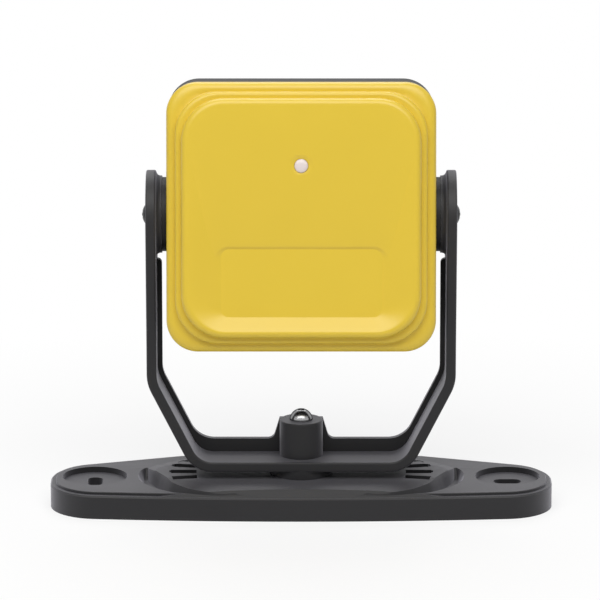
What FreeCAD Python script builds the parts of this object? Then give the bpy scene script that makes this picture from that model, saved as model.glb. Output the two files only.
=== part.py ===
import FreeCAD, Part
import math
import os
import re

import Sketcher

# Safety radar sensor on a swivel bracket. Millimetres, +Z up, the face looks along -Y.
# The origin is where the pan axis meets the underside of the base.
# Head pieces are drawn about the tilt axis, with "ahead" meaning the distance in front of it.

DIMENSIONS = [
    ("base_length", 165.0, "base, end to end at its underside"),
    ("front_end", 19.0, "base front edge at its ends, ahead of the pan axis"),
    ("front_bow", 4.5, "how far the front edge swells towards its middle"),
    ("back_end", 12.1, "base back edge at its ends, behind the pan axis"),
    ("back_shoulder", 25.5, "base back edge where its middle stretch begins"),
    ("shoulder_half", 40.0, "half length of that middle stretch"),
    ("back_bow", 2.5, "how far the middle stretch swells backwards"),
    ("end_round", 16.0, "plan radius of the four corners of the base"),
    ("skirt_height", 7.8, "height of the outer wall of the base"),
    ("skirt_edge", 0.5, "bevel on the top edge of the outer wall"),
    ("bevel_gap", 0.2, "flat strip between that bevel and the one on the raised oval"),
    ("ledge_width", 1.8, "ledge on top of the outer wall"),
    ("deck_height", 8.7, "top of the base outside its raised oval"),
    ("deck_edge", 0.3, "rounding of the top edge of the base"),
    ("oval_rise", 1.5, "raised oval above the deck"),
    ("oval_half", 48.0, "raised oval, half length of its top"),
    ("oval_depth", 20.0, "raised oval, half depth of its top"),
    ("oval_tip", 8.3, "raised oval, radius of the tips of its top"),
    ("oval_run", 8.3, "how far its flank leads outwards at the tips, down to the ledge"),
    ("oval_spread", 19.2, "how far its flank leads outwards at front and back"),
    ("oval_swell", 17.4, "how much rounder its tips are at the ledge"),
    ("notch_step", 10.0, "angle between two pan notches"),
    ("notch_count", 4.0, "pan notches on each side, from the middle backwards"),
    ("notch_inner", 35.0, "pan notches, inner radius"),
    ("notch_outer", 43.5, "pan notches, outer radius"),
    ("notch_width", 2.4, "width of a pan notch"),
    ("notch_depth", 0.5, "depth of a pan notch"),
    ("slot_spacing", 136.0, "distance between the two mounting slots"),
    ("slot_width", 5.0, "width of a mounting slot"),
    ("slot_length", 9.2, "length of a mounting slot"),
    ("recess_radius", 10.65, "round recess about each slot"),
    ("recess_depth", 1.9, "depth of that recess"),
    ("base_wall", 2.8, "walls of the base round its hollow underside"),
    ("base_skin", 2.6, "thickness of the top of the base over its hollow"),
    ("slot_pillar", 8.5, "radius of the pillar round each slot"),
    ("hub_pillar", 12.0, "radius of the pillar under the hub"),
    ("base_rib", 2.2, "thickness of the ribs under the base"),
    ("web_bottom", 12.9, "underside of the fork's floor"),
    ("web_thickness", 3.3, "thickness of the fork's wall"),
    ("web_half", 10.5, "half width of the fork's floor"),
    ("arm_reach", 15.1, "how far an arm leads outwards from the floor to its elbow"),
    ("disc_space", 1.7, "room for a tilt disc between the head and the boss of an ear"),
    ("elbow_height", 42.8, "height at which the arms turn upright"),
    ("elbow_round", 14.0, "outer bend radius of the elbows"),
    ("foot_round", 10.5, "outer bend radius at the fork's floor"),
    ("tilt_axis_height", 97.6, "tilt axis above the underside of the base"),
    ("ear_radius", 14.4, "radius of an ear"),
    ("rib_front", -3.2, "front of the fork's inner rib, ahead of the pan axis"),
    ("rib_thickness", 2.2, "thickness of the inner rib"),
    ("arm_rib", 1.6, "height of the inner rib on the arms"),
    ("floor_rib", 4.4, "height of the inner rib on the floor"),
    ("rib_stop", 15.9, "top of the inner rib below the tilt axis"),
    ("rib_round", 8.5, "inner bend radius of the rib at the floor"),
    ("rib_end_round", 1.5, "rounding of the upper end of the rib"),
    ("arm_taper", 5.5, "angle by which the edges of an arm close in below its ear"),
    ("taper_round", 60.0, "radius where the tapered edges of an arm turn upright"),
    ("fork_edge", 0.6, "rounding of the edges of the fork's wall"),
    ("ear_boss_radius", 12.6, "radius of the boss inside an ear"),
    ("ear_boss_height", 1.9, "height of that boss"),
    ("ear_boss_root", 1.5, "hollow rounding at the root of that boss"),
    ("boss_radius", 7.1, "radius of the fork's boss"),
    ("boss_height", 28.2, "top of the boss above the underside of the base"),
    ("gusset_half", 9.2, "half length of the gusset at the foot of the boss"),
    ("gusset_drop", 0.6, "top of the gusset below the top of the boss"),
    ("gusset_round", 2.4, "hollow rounding at the foot of the gusset"),
    ("hub_radius", 10.5, "radius of the hub under the fork"),
    ("edge_round", 0.5, "rounding of the moulded edge of the boss"),
    ("running_gap", 0.05, "clearance between faces that turn on each other"),
    ("shaft_gap", 0.08, "radial clearance round a screw that something turns on"),
    ("seat_gap", 0.05, "radial clearance of pieces pushed into a hole"),
    ("pan_screw_radius", 2.0, "pan screw, shank radius"),
    ("pan_head_radius", 3.75, "pan screw, head radius"),
    ("pan_head_rim", 0.5, "pan screw, height of the rim of the head"),
    ("pan_dome", 3.0, "pan screw, height of the dome above the rim"),
    ("socket_half", 1.25, "half width across flats of a screw socket"),
    ("socket_depth", 1.6, "depth of a screw socket"),
    ("socket_pin", 0.5, "radius of the pin in a tamper-proof socket"),
    ("nut_half", 3.5, "half width across flats of the pan nut"),
    ("nut_height", 3.2, "height of the pan nut"),
    ("nut_sink", 0.4, "pan nut above the underside of the base"),
    ("rest_tilt", 10.0, "upward tilt of the head at rest, one detent"),
    ("head_size", 87.2, "width and height of the head"),
    ("head_round", 10.2, "corner radius of the head"),
    ("face_ahead", 24.0, "rim of the face ahead of the tilt axis"),
    ("joint_ahead", 12.5, "joint of cover and housing ahead of the tilt axis"),
    ("rear_behind", 18.0, "rear face of the housing behind the tilt axis"),
    ("step_one_inset", 2.9, "first step of the cover, in from the side"),
    ("step_two_inset", 4.9, "second step of the cover, in from the side"),
    ("rim_inset", 6.7, "edge of the dished face, in from the side"),
    ("step_round", 14.5, "corner radius of the steps"),
    ("rim_round", 13.0, "corner radius of the dished face"),
    ("step_one_drop", 6.3, "foot of the first step, behind the rim"),
    ("step_two_drop", 3.4, "foot of the second step, behind the rim"),
    ("flange_edge", 2.2, "bevel of the cover's outer edge"),
    ("step_one_edge", 1.1, "rounding of the first step"),
    ("step_two_edge", 1.7, "rounding of the second step"),
    ("dish_depth", 1.8, "depth of the dish at the antenna window"),
    ("dish_upper_depth", 0.3, "depth of the dish at the first bend of its upper slope"),
    ("dish_upper_height", 16.0, "first bend above the tilt axis"),
    ("dish_lower_depth", 0.9, "depth of the dish at the second bend of its upper slope"),
    ("dish_lower_height", 1.0, "second bend above the tilt axis"),
    ("window_side", 10.9, "flat antenna window, in from the sides of the dished face"),
    ("window_top", 10.0, "top of the window below the tilt axis"),
    ("window_foot", 4.9, "window above the lower edge of the dished face"),
    ("window_round", 2.6, "corner radius of the window"),
    ("cover_wall", 3.0, "side walls of cover and housing"),
    ("radome_wall", 2.6, "thickness of the radome behind the window"),
    ("shelf_depth", 3.2, "depth of the wide part of the cover's hollow"),
    ("light_height", 17.0, "status light above the tilt axis"),
    ("light_radius", 2.2, "radius of the status light window"),
    ("light_sink", 0.2, "light pipe behind the first bend of the dish"),
    ("light_flange", 1.2, "how far the light pipe's flange stands out"),
    ("light_flange_depth", 1.0, "thickness of that flange"),
    ("rear_wall", 2.8, "rear wall of the housing"),
    ("rear_edge", 2.5, "rounding of the housing's rear edge"),
    ("corner_inset", 7.4, "housing screws, in from the sides of the head"),
    ("corner_boss", 5.0, "radius of a screw boss in a corner"),
    ("case_screw_radius", 1.5, "housing screw, shank radius"),
    ("case_head_radius", 2.75, "housing screw, head radius"),
    ("case_head_height", 3.0, "housing screw, head height"),
    ("case_grip", 6.5, "housing clamped under the head of a screw"),
    ("case_thread", 3.4, "length of a housing screw in the cover"),
    ("seal_width", 1.3, "width of the cover seal"),
    ("seal_height", 1.2, "height of the cover seal"),
    ("seal_inset", 1.45, "middle of the seal, in from the side"),
    ("pivot_boss", 8.0, "radius of the housing's side bosses"),
    ("pivot_end", 0.6, "side boss beyond the inner end of its insert"),
    ("insert_radius", 3.2, "threaded insert, radius"),
    ("insert_length", 8.0, "threaded insert, length"),
    ("tilt_screw_radius", 2.0, "tilt screw, shank radius"),
    ("tilt_thread", 7.0, "length of a tilt screw in its insert"),
    ("tilt_head_radius", 3.4, "tilt screw, head radius"),
    ("tilt_head_sink", 0.9, "tilt screw, head sunk in the ear"),
    ("tilt_head_rim", 0.9, "tilt screw, height of the rim of the head"),
    ("tilt_dome", 1.3, "tilt screw, height of the dome above the rim"),
    ("disc_radius", 12.1, "tilt disc, radius"),
    ("spigot_radius", 5.0, "tilt disc, radius of its spigot"),
    ("spigot_length", 2.0, "tilt disc, length of its spigot"),
    ("tooth_depth", 0.6, "tilt disc, depth of its detent grooves"),
    ("tooth_width", 0.9, "tilt disc, width of its detent grooves"),
    ("tooth_inner", 7.4, "tilt disc, inner radius of its grooves"),
    ("tooth_edge", 1.2, "tilt disc, plain rim outside its grooves"),
    ("board_space", 12.6, "space round the boards, in from the sides of the head"),
    ("board_thickness", 1.6, "thickness of the boards"),
    ("board_round", 2.0, "corner radius of the boards"),
    ("board_hole_inset", 4.0, "board screws, in from the edges of a board"),
    ("post_length", 9.0, "posts for the boards"),
    ("post_radius", 3.0, "radius of a post"),
    ("spacer_radius", 2.5, "radius of a board spacer"),
    ("spacer_length", 14.0, "length of a board spacer"),
    ("board_screw_radius", 1.25, "board screw, shank radius"),
    ("board_head_radius", 2.25, "board screw, head radius"),
    ("board_head_height", 1.6, "board screw, head height"),
    ("board_thread", 6.0, "length of a board screw in its post"),
    ("chip_half", 5.0, "half width of the radar chip"),
    ("chip_height", 1.0, "height of the chips"),
    ("processor_half", 7.0, "half width of the processor chip"),
    ("led_half", 1.6, "half width of the status lamp"),
    ("link_half_length", 11.0, "half length of the header between the boards"),
    ("link_half_width", 2.5, "half width of that header"),
    ("link_height", 24.0, "header above the tilt axis"),
    ("plug_inset", 10.0, "connectors, in from the board posts towards the middle"),
    ("plug_rise", 8.0, "connectors, above the lower board posts"),
    ("collar_radius", 10.5, "collar round a connector"),
    ("collar_height", 1.5, "height of that collar"),
    ("neck_radius", 7.0, "connector neck through the wall"),
    ("flange_radius", 9.0, "connector flange"),
    ("flange_thickness", 2.0, "thickness of that flange"),
    ("gasket_thickness", 0.8, "connector gasket"),
    ("thread_radius", 6.0, "M12 thread radius"),
    ("thread_length", 9.5, "M12 thread length"),
    ("male_bore", 4.65, "bore of the male connector"),
    ("mouth_depth", 8.5, "depth of the connectors' mouths"),
    ("female_outer", 8.2, "outer radius of the female connector"),
    ("socket_nose", 4.1, "radius of the socket nose in the female connector"),
    ("nose_sink", 1.0, "socket nose behind the mouth"),
    ("pin_radius", 0.5, "radius of a contact pin"),
    ("pin_circle", 2.85, "contact pins from the connector's axis"),
    ("pin_sink", 1.5, "contact pins behind the mouth"),
    ("contact_radius", 0.9, "radius of a socket contact"),
    ("vent_height", 20.0, "vent above the tilt axis"),
    ("vent_radius", 3.0, "radius of the vent's stem"),
    ("vent_cap", 5.0, "radius of the vent's cap"),
    ("vent_cap_height", 1.6, "height of the vent's cap"),
]

ALIASES = {alias for alias, size, meaning in DIMENSIONS}

doc = FreeCAD.newDocument("safety_radar_sensor")
dims = doc.addObject("Spreadsheet::Sheet", "dims")
dims.Label = "driving dimensions"
for row, (alias, size, meaning) in enumerate(DIMENSIONS, 1):
    dims.set(f"A{row}", meaning)
    dims.set(f"B{row}", str(size))
    dims.setAlias(f"B{row}", alias)
doc.recompute()

# places that follow from the sizes above
SLOT_PLACE = "(slot_spacing / 2)"
OVAL_TOP = "(deck_height + oval_rise)"
HEAD_HALF = "(head_size / 2)"
FORK_HALF = f"({HEAD_HALF} + disc_space + ear_boss_height + web_thickness)"
FOOT_HALF = f"({FORK_HALF} - arm_reach)"
RIM_HALF = f"({HEAD_HALF} - rim_inset)"
CORNER_PLACE = f"({HEAD_HALF} - corner_inset)"
BOARD_HALF = f"({HEAD_HALF} - board_space)"
POST_PLACE = f"({BOARD_HALF} - board_hole_inset)"
PLUG_ACROSS = f"({POST_PLACE} - plug_inset)"
PLUG_DROP = f"({POST_PLACE} - plug_rise)"

Y_AXIS = FreeCAD.Vector(0, 1, 0)
Z_AXIS = FreeCAD.Vector(0, 0, 1)
NEAR = 0.001
pieces = []


def formula(text):
    """Turn a sum of named sizes into an expression on the sheet."""
    return re.sub(r"[a-z][a-z_]*", lambda m: f"dims.{m[0]}" if m[0] in ALIASES else m[0], str(text))


def value(text):
    """Number that a sum of named sizes has now."""
    return float(dims.evalExpression(formula(text)))


def bind(feature, prop, text):
    """Tie one property of a feature to a sum of named sizes."""
    feature.setExpression(prop, formula(text))


def new_body(label):
    """Empty body for one sub-part."""
    body = doc.addObject("PartDesign::Body", label)
    body.Label = label
    return body


def origin_part(body, role):
    """Plane or axis of the body's own origin."""
    return next(f for f in body.Origin.OriginFeatures if f.Role == role)


def sketch_on(body, name, plane, lift="0"):
    """Empty sketch on one of the body's planes, lifted along the plane's normal."""
    sketch = body.newObject("Sketcher::SketchObject", name)
    sketch.AttachmentSupport = [(origin_part(body, plane), "")]
    sketch.MapMode = "FlatFace"
    bind(sketch, "AttachmentOffset.Base.z", lift)
    return sketch


def limit(sketch, kind, *where, text):
    """Dimension in a sketch, tied to a sum of named sizes."""
    index = sketch.addConstraint(Sketcher.Constraint(kind, *where, value(text)))
    bind(sketch, f"Constraints[{index}]", text)


def flip(point):
    """Mirror image of a point across the middle."""
    return f"-({point[0]})", point[1]


def hold(sketch, geometry, point, across=None, up=None):
    """Hold a point of a sketch at the place that two sums of named sizes give."""
    for kind, axis, text in (("DistanceX", -2, across), ("DistanceY", -1, up)):
        if text == "0":
            sketch.addConstraint(Sketcher.Constraint("PointOnObject", geometry, point, axis))
        elif text is not None:
            limit(sketch, kind, -1, 1, geometry, point, text=text)


def chain(sketch, corners, arcs=None, hollows=()):
    """Closed outline, anticlockwise. A side in arcs is an arc about the centre given, hollow if so listed."""
    arcs = arcs or {}
    first = sketch.GeometryCount
    places = [FreeCAD.Vector(value(x), value(y), 0) for x, y in corners]
    after = [(i + 1) % len(places) for i in range(len(places))]
    # an arc always runs anticlockwise about its centre, so a hollow one is drawn from its far end
    heads = [2 if i in hollows else 1 for i in range(len(places))]
    for i, start in enumerate(places):
        end = places[after[i]]
        if i in arcs:
            centre = FreeCAD.Vector(value(arcs[i][0]), value(arcs[i][1]), 0)
            ends = (end, start) if i in hollows else (start, end)
            angles = [math.atan2(p.y - centre.y, p.x - centre.x) for p in ends]
            circle = Part.Circle(centre, Z_AXIS, (start - centre).Length)
            sketch.addGeometry(Part.ArcOfCircle(circle, *angles), False)
        else:
            sketch.addGeometry(Part.LineSegment(start, end), False)
    for i, j in enumerate(after):
        sketch.addConstraint(Sketcher.Constraint("Coincident", first + i, 3 - heads[i], first + j, heads[j]))
    for i, (x, y) in enumerate(corners):
        hold(sketch, first + i, heads[i], x, y)
    for i, (x, y) in arcs.items():
        level = abs(places[i].y - places[after[i]].y) < NEAR
        hold(sketch, first + i, 3, None if level else x, y if level else None)


def rounded_rectangle(sketch, half_width, half_height, radius, up="0"):
    """Rectangle with round corners, centred across the sketch and at a height in it."""
    w, h, r, c = value(half_width), value(half_height), value(radius), value(up)
    first = sketch.GeometryCount
    quarter = math.pi / 2
    sides = [((r - w, c - h), (w - r, c - h)), ((w, c + r - h), (w, c + h - r)),
             ((w - r, c + h), (r - w, c + h)), ((-w, c + h - r), (-w, c + r - h))]
    centres = [(w - r, c + r - h), (w - r, c + h - r), (r - w, c + h - r), (r - w, c + r - h)]
    for i in range(4):
        start, end = [FreeCAD.Vector(x, y, 0) for x, y in sides[i]]
        circle = Part.Circle(FreeCAD.Vector(*centres[i], 0), Z_AXIS, r)
        sketch.addGeometry(Part.LineSegment(start, end), False)
        sketch.addGeometry(Part.ArcOfCircle(circle, (i - 1) * quarter, i * quarter), False)
    for i in range(8):
        sketch.addConstraint(Sketcher.Constraint("Tangent", first + i, 2, first + (i + 1) % 8, 1))
    for i in (0, 4):
        sketch.addConstraint(Sketcher.Constraint("Horizontal", first + i))
        sketch.addConstraint(Sketcher.Constraint("Vertical", first + i + 2))
    for i in (3, 5, 7):
        sketch.addConstraint(Sketcher.Constraint("Equal", first + 1, first + i))
    limit(sketch, "Radius", first + 1, text=radius)
    hold(sketch, first, 1, None, f"{up} - ({half_height})")
    hold(sketch, first + 2, 1, half_width)
    hold(sketch, first + 4, 1, None, f"{up} + ({half_height})")
    hold(sketch, first + 6, 1, f"-({half_width})")


def circle(sketch, across, up, radius):
    """Circle about the place that two sums of named sizes give."""
    middle = FreeCAD.Vector(value(across), value(up), 0)
    index = sketch.addGeometry(Part.Circle(middle, Z_AXIS, value(radius)), False)
    limit(sketch, "Radius", index, text=radius)
    hold(sketch, index, 3, across, up)


def hexagon(sketch, half_flats):
    """Regular hexagon about the sketch's origin, flats above and below."""
    reach = f"({half_flats}) / cos(30)"
    corners = [(f"{reach} * cos({60 * i})", f"{reach} * sin({60 * i})" if i % 3 else "0") for i in range(6)]
    chain(sketch, corners)


def slot(sketch, across, half_x, half_y):
    """Slot with round ends, along whichever of its half sizes is the larger."""
    straight = f"(({half_x}) - ({half_y}))"
    if value(straight) > 0:
        left, right = f"{across} - {straight}", f"{across} + {straight}"
        low, high = f"-({half_y})", f"{half_y}"
        chain(sketch, [(left, low), (right, low), (right, high), (left, high)],
              {1: (right, "0"), 3: (left, "0")})
    else:
        left, right = f"{across} - ({half_x})", f"{across} + ({half_x})"
        low, high = f"{straight}", f"-{straight}"
        chain(sketch, [(right, low), (right, high), (left, high), (left, low)],
              {1: (across, high), 3: (across, low)})


def extrude(body, kind, name, sketch, length, back=False, both=False):
    """Pad or pocket of a sketch. A pocket that takes nothing away is an error."""
    before = body.Shape.Volume if body.Tip else 0
    feature = body.newObject(f"PartDesign::{kind}", name)
    feature.Profile = sketch
    bind(feature, "Length", length)
    feature.Reversed = back
    feature.Midplane = both
    doc.recompute()
    change = body.Shape.Volume - before
    if (kind == "Pocket") != (change < 0):
        raise RuntimeError(f"{body.Label}: {name} changes nothing")
    return feature


def loft(body, kind, name, *sketches):
    """Loft through sketches, straight from each to the next."""
    before = body.Shape.Volume
    feature = body.newObject(f"PartDesign::{kind}", name)
    feature.Profile = sketches[0]
    feature.Sections = list(sketches[1:])
    feature.Ruled = True
    doc.recompute()
    if (kind == "SubtractiveLoft") != (body.Shape.Volume < before - NEAR):
        raise RuntimeError(f"{body.Label}: {name} changes nothing")
    return feature


def dress(body, kind, name, size, test):
    """Fillet or chamfer on those edges of the body that the test picks."""
    base = body.Tip
    picked = [f"Edge{i}" for i, edge in enumerate(base.Shape.Edges, 1) if test(edge)]
    if not picked:
        raise RuntimeError(f"{body.Label}: no edges for {name}")
    feature = body.newObject(f"PartDesign::{kind}", name)
    feature.Base = (base, picked)
    bind(feature, "Radius" if kind == "Fillet" else "Size", size)
    doc.recompute()
    if "Invalid" in feature.State:
        raise RuntimeError(f"{body.Label}: {name} can't be made")
    return feature


def mirror(body, name, feature, plane):
    """Mirror image of a feature in one of the body's planes."""
    copy = body.newObject("PartDesign::Mirrored", name)
    copy.Originals = [feature]
    copy.MirrorPlane = (origin_part(body, plane), [""])
    body.Tip = copy
    doc.recompute()
    return copy


def ring_of(body, name, feature, axis, angle, count, back=False):
    """Copies of a feature about one of the body's axes, turning clockwise if back."""
    pattern = body.newObject("PartDesign::PolarPattern", name)
    pattern.Originals = [feature]
    pattern.Axis = (origin_part(body, axis), [""])
    pattern.Reversed = back
    bind(pattern, "Angle", angle)
    bind(pattern, "Occurrences", count)
    body.Tip = pattern
    doc.recompute()
    return pattern


def turned(label, corners, arcs=None):
    """Body turned about its own Z axis from corners given as radius and height."""
    body = new_body(label)
    sketch = sketch_on(body, f"{label}_profile", "XZ_Plane")
    chain(sketch, corners, arcs)
    feature = body.newObject("PartDesign::Revolution", f"{label}_turned")
    feature.Profile = sketch
    feature.ReferenceAxis = (sketch, ["V_Axis"])
    feature.Angle = 360
    doc.recompute()
    return body


def level_edge(edge, height, axis="Z"):
    """Whether an edge lies wholly at one height along an axis."""
    box = edge.BoundBox
    low, high = getattr(box, f"{axis}Min"), getattr(box, f"{axis}Max")
    return abs(low - height) < NEAR and abs(high - height) < NEAR


def upright_at(across):
    """Test for upright edges at a distance across from the middle."""
    return lambda e: abs(abs(e.CenterOfMass.x) - across) < NEAR and e.BoundBox.YLength < NEAR


def finish(body):
    """List a sub-part for hand-out."""
    pieces.append(body)


def group(label, bodies):
    """One sub-part of several like solids."""
    compound = doc.addObject("Part::Compound", label)
    compound.Label = label
    compound.Links = bodies
    pieces.append(compound)


def place_in_head(body, across="0", ahead="0", up="0", facing="head"):
    """Place a body in the tilted head, turned so that its own Z axis faces the way given."""
    turns = {"head": (-1, "rest_tilt"), "back": (-1, "90 + rest_tilt"), "front": (1, "90 - rest_tilt")}
    axis, angle = turns[facing]
    body.Placement.Rotation = FreeCAD.Rotation(FreeCAD.Vector(axis, 0, 0), value(angle))
    bind(body, "Placement.Rotation.Angle", angle)
    bind(body, "Placement.Base.x", across)
    bind(body, "Placement.Base.y", f"({up}) * sin(rest_tilt) - ({ahead}) * cos(rest_tilt)")
    bind(body, "Placement.Base.z", f"tilt_axis_height + ({up}) * cos(rest_tilt) + ({ahead}) * sin(rest_tilt)")


def place_on_tilt_axis(body, side, across):
    """Place a body on the tilt axis, with its own Z axis pointing out to one side of the head."""
    sign = {"left": -1, "right": 1}[side]
    body.Placement.Rotation = FreeCAD.Rotation(Y_AXIS, sign * 90)
    bind(body, "Placement.Base.x", f"{sign} * ({across})")
    bind(body, "Placement.Base.z", "tilt_axis_height")


# Base


def base_edges(inset):
    """Half length, front, back, shoulder and bow centres of the base, drawn in by an inset."""
    half = f"(base_length / 2 - ({inset}))"
    front = f"(front_end - ({inset}))"
    back = f"(back_end - ({inset}))"
    shoulder = f"(back_shoulder - ({inset}))"
    front_centre = f"({half}^2 - front_bow^2) / (2 * front_bow) - {front}"
    back_centre = f"{shoulder} - (shoulder_half^2 - back_bow^2) / (2 * back_bow)"
    return half, front, back, shoulder, front_centre, back_centre


def base_outline(body, name, inset):
    """Plan of the base, drawn in by an inset: bowed front, straight flanks, bowed middle at the back."""
    half, front, back, shoulder, front_centre, back_centre = base_edges(inset)
    sketch = sketch_on(body, name, "XY_Plane")
    chain(sketch,
          [(f"-{half}", f"-{front}"), (half, f"-{front}"), (half, back),
           ("shoulder_half", shoulder), ("-shoulder_half", shoulder), (f"-{half}", back)],
          {0: ("0", front_centre), 3: ("0", back_centre)})
    return sketch


def oval_outline(body, name, height, half, depth, tip):
    """Plan of the raised oval: round tips joined by two long arcs that run smoothly into them."""
    bow = f"((({half} - {tip})^2 + {depth}^2 - {tip}^2) / (2 * ({depth} - {tip})))"
    across = f"({bow} * ({half} - {tip}) / ({bow} - {tip}))"
    out = f"(({bow} - {depth}) * {tip} / ({bow} - {tip}))"
    sketch = sketch_on(body, name, "XY_Plane", height)
    chain(sketch, [(f"-{across}", f"-{out}"), (across, f"-{out}"), (across, out), (f"-{across}", out)],
          {0: ("0", f"{bow} - {depth}"), 1: (f"{half} - {tip}", "0"),
           2: ("0", f"{depth} - {bow}"), 3: (f"{tip} - {half}", "0")})
    return sketch


def front_outline(body, name, height, inset):
    """Ground in front of the base, up to its front edge drawn in by an inset."""
    half, front, _, _, front_centre, _ = base_edges(inset)
    far = "-(front_end + oval_depth + oval_spread)"
    sketch = sketch_on(body, name, "XY_Plane", height)
    chain(sketch, [(f"-{half}", far), (half, far), (half, f"-{front}"), (f"-{half}", f"-{front}")],
          {2: ("0", front_centre)}, hollows=(2,))
    return sketch


def back_outline(body, name, height, inset):
    """Ground behind the base, up to its back edge drawn in by an inset."""
    half, _, back, shoulder, _, back_centre = base_edges(inset)
    far = "back_shoulder + oval_depth + oval_spread"
    sketch = sketch_on(body, name, "XY_Plane", height)
    chain(sketch,
          [(f"-{half}", back), ("-shoulder_half", shoulder), ("shoulder_half", shoulder), (half, back),
           (half, far), (f"-{half}", far)],
          {1: ("0", back_centre)}, hollows=(1,))
    return sketch


def hollow_outline(body, name):
    """Plan of the hollow under the base: the base drawn in by its wall, its corners cut off."""
    half = "(base_length / 2 - base_wall)"
    front = "(front_end - base_wall)"
    back = "(back_end - base_wall)"
    shoulder = "(back_shoulder - base_wall)"
    cut = "end_round / 2"
    flank = f"{cut} * ({shoulder} - {back}) / ({half} - shoulder_half)"
    sketch = sketch_on(body, name, "XY_Plane")
    right = [(f"{half} - {cut}", f"-{front}"), (half, f"{cut} - {front}"), (half, f"{back} - {cut} / 2"),
             (f"{half} - {cut}", f"{back} + {flank}"), ("shoulder_half", shoulder)]
    chain(sketch, right + [flip(p) for p in reversed(right)])
    return sketch


def make_base():
    """Moulded foot: skirt, ledge, deck, raised oval with notches, slots, hollow underside."""
    body = new_body("base_plate")
    deck = base_outline(body, "deck_plan", "ledge_width")
    extrude(body, "Pad", "deck", deck, "deck_height")
    dress(body, "Fillet", "deck_corners", "end_round - ledge_width",
          upright_at(value("base_length / 2 - ledge_width")))
    dress(body, "Fillet", "deck_rim", "deck_edge", lambda e: level_edge(e, value("deck_height")))
    inner = body.Tip.Shape
    skirt = base_outline(body, "skirt_plan", "0")
    extrude(body, "Pad", "skirt", skirt, "skirt_height")
    dress(body, "Fillet", "skirt_corners", "end_round", upright_at(value("base_length / 2")))
    dress(body, "Chamfer", "skirt_bevel", "skirt_edge",
          lambda e: level_edge(e, value("skirt_height")) and e.distToShape(inner)[0] > NEAR)

    # the oval runs down to the ledge, where the bevel of the skirt goes on up over it
    foot = oval_outline(body, "oval_foot", "skirt_height", "(oval_half + oval_run)",
                        "(oval_depth + oval_spread)", "(oval_tip + oval_swell)")
    top = oval_outline(body, "oval_top", OVAL_TOP, "oval_half", "oval_depth", "oval_tip")
    loft(body, "AdditiveLoft", "oval", foot, top)
    for side, outline in (("front", front_outline), ("back", back_outline)):
        start = "skirt_edge + bevel_gap"
        low = outline(body, f"{side}_bevel_foot", "skirt_height", start)
        high = outline(body, f"{side}_bevel_top", OVAL_TOP, f"{start} + {OVAL_TOP} - skirt_height")
        loft(body, "SubtractiveLoft", f"{side}_bevel", low, high)

    recesses = sketch_on(body, "recess_plan", "XY_Plane", "deck_height")
    circle(recesses, f"-{SLOT_PLACE}", "0", "recess_radius")
    circle(recesses, SLOT_PLACE, "0", "recess_radius")
    extrude(body, "Pocket", "recesses", recesses, "recess_depth")

    hollow = hollow_outline(body, "hollow_plan")
    circle(hollow, "0", "0", "hub_pillar")
    circle(hollow, f"-{SLOT_PLACE}", "0", "slot_pillar")
    circle(hollow, SLOT_PLACE, "0", "slot_pillar")
    extrude(body, "Pocket", "hollow", hollow, "deck_height - recess_depth - base_skin", back=True)

    ribs = sketch_on(body, "rib_plan", "XY_Plane")
    half = "base_rib / 2"
    inner, outer = "(hub_pillar - base_rib)", f"({SLOT_PLACE} - slot_pillar + base_rib)"
    for low, high in ((inner, outer), (f"-{outer}", f"-{inner}")):
        chain(ribs, [(low, f"-{half}"), (high, f"-{half}"), (high, half), (low, half)])
    front_wall = "-(front_end - base_wall / 2)"
    back_wall = "back_shoulder - base_wall / 2"
    for low, high in ((front_wall, f"-{inner}"), (inner, back_wall)):
        chain(ribs, [(f"-{half}", low), (half, low), (half, high), (f"-{half}", high)])
    extrude(body, "Pad", "ribs", ribs, "deck_height - recess_depth - base_skin / 2")

    slots = sketch_on(body, "slot_plan", "XY_Plane")
    slot(slots, f"-{SLOT_PLACE}", "slot_width / 2", "slot_length / 2")
    slot(slots, SLOT_PLACE, "slot_length / 2", "slot_width / 2")
    extrude(body, "Pocket", "slots", slots, "deck_height", back=True)

    bore = sketch_on(body, "pan_bore_plan", "XY_Plane")
    circle(bore, "0", "0", "pan_screw_radius + shaft_gap")
    extrude(body, "Pocket", "pan_bore", bore, OVAL_TOP, back=True)
    nut_seat = sketch_on(body, "nut_seat_plan", "XY_Plane")
    hexagon(nut_seat, "nut_half + seat_gap")
    extrude(body, "Pocket", "nut_seat", nut_seat, "nut_sink + nut_height", back=True)

    half = "notch_width / 2"
    right = [("notch_inner", f"-{half}"), ("notch_outer", f"-{half}"),
             ("notch_outer", half), ("notch_inner", half)]
    left = [flip(p) for p in reversed(right)]
    for side, corners in (("right", right), ("left", left)):
        plan = sketch_on(body, f"{side}_notch_plan", "XY_Plane", OVAL_TOP)
        chain(plan, corners)
        first = extrude(body, "Pocket", f"{side}_notch", plan, "notch_depth")
        sweep = "notch_step * (notch_count - 1)"
        ring_of(body, f"{side}_notches", first, "Z_Axis", sweep, "notch_count", back=side == "left")
    finish(body)


def make_pan_fixing():
    """Domed pan screw through boss, hub and base, and its nut under the base."""
    top = "boss_height + running_gap"
    rim = f"{top} + pan_head_rim"
    crown = f"{rim} + pan_dome"
    centre = f"{rim} + (pan_dome^2 - pan_head_radius^2) / (2 * pan_dome)"
    screw = turned("pan_screw",
                   [("0", "nut_sink"), ("pan_screw_radius", "nut_sink"), ("pan_screw_radius", top),
                    ("pan_head_radius", top), ("pan_head_radius", rim), ("0", crown)],
                   {4: ("0", centre)})
    add_socket(screw, crown)
    finish(screw)

    nut = new_body("pan_nut")
    plan = sketch_on(nut, "nut_plan", "XY_Plane", "nut_sink")
    hexagon(plan, "nut_half")
    circle(plan, "0", "0", "pan_screw_radius + seat_gap")
    extrude(nut, "Pad", "nut_block", plan, "nut_height")
    finish(nut)


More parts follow.
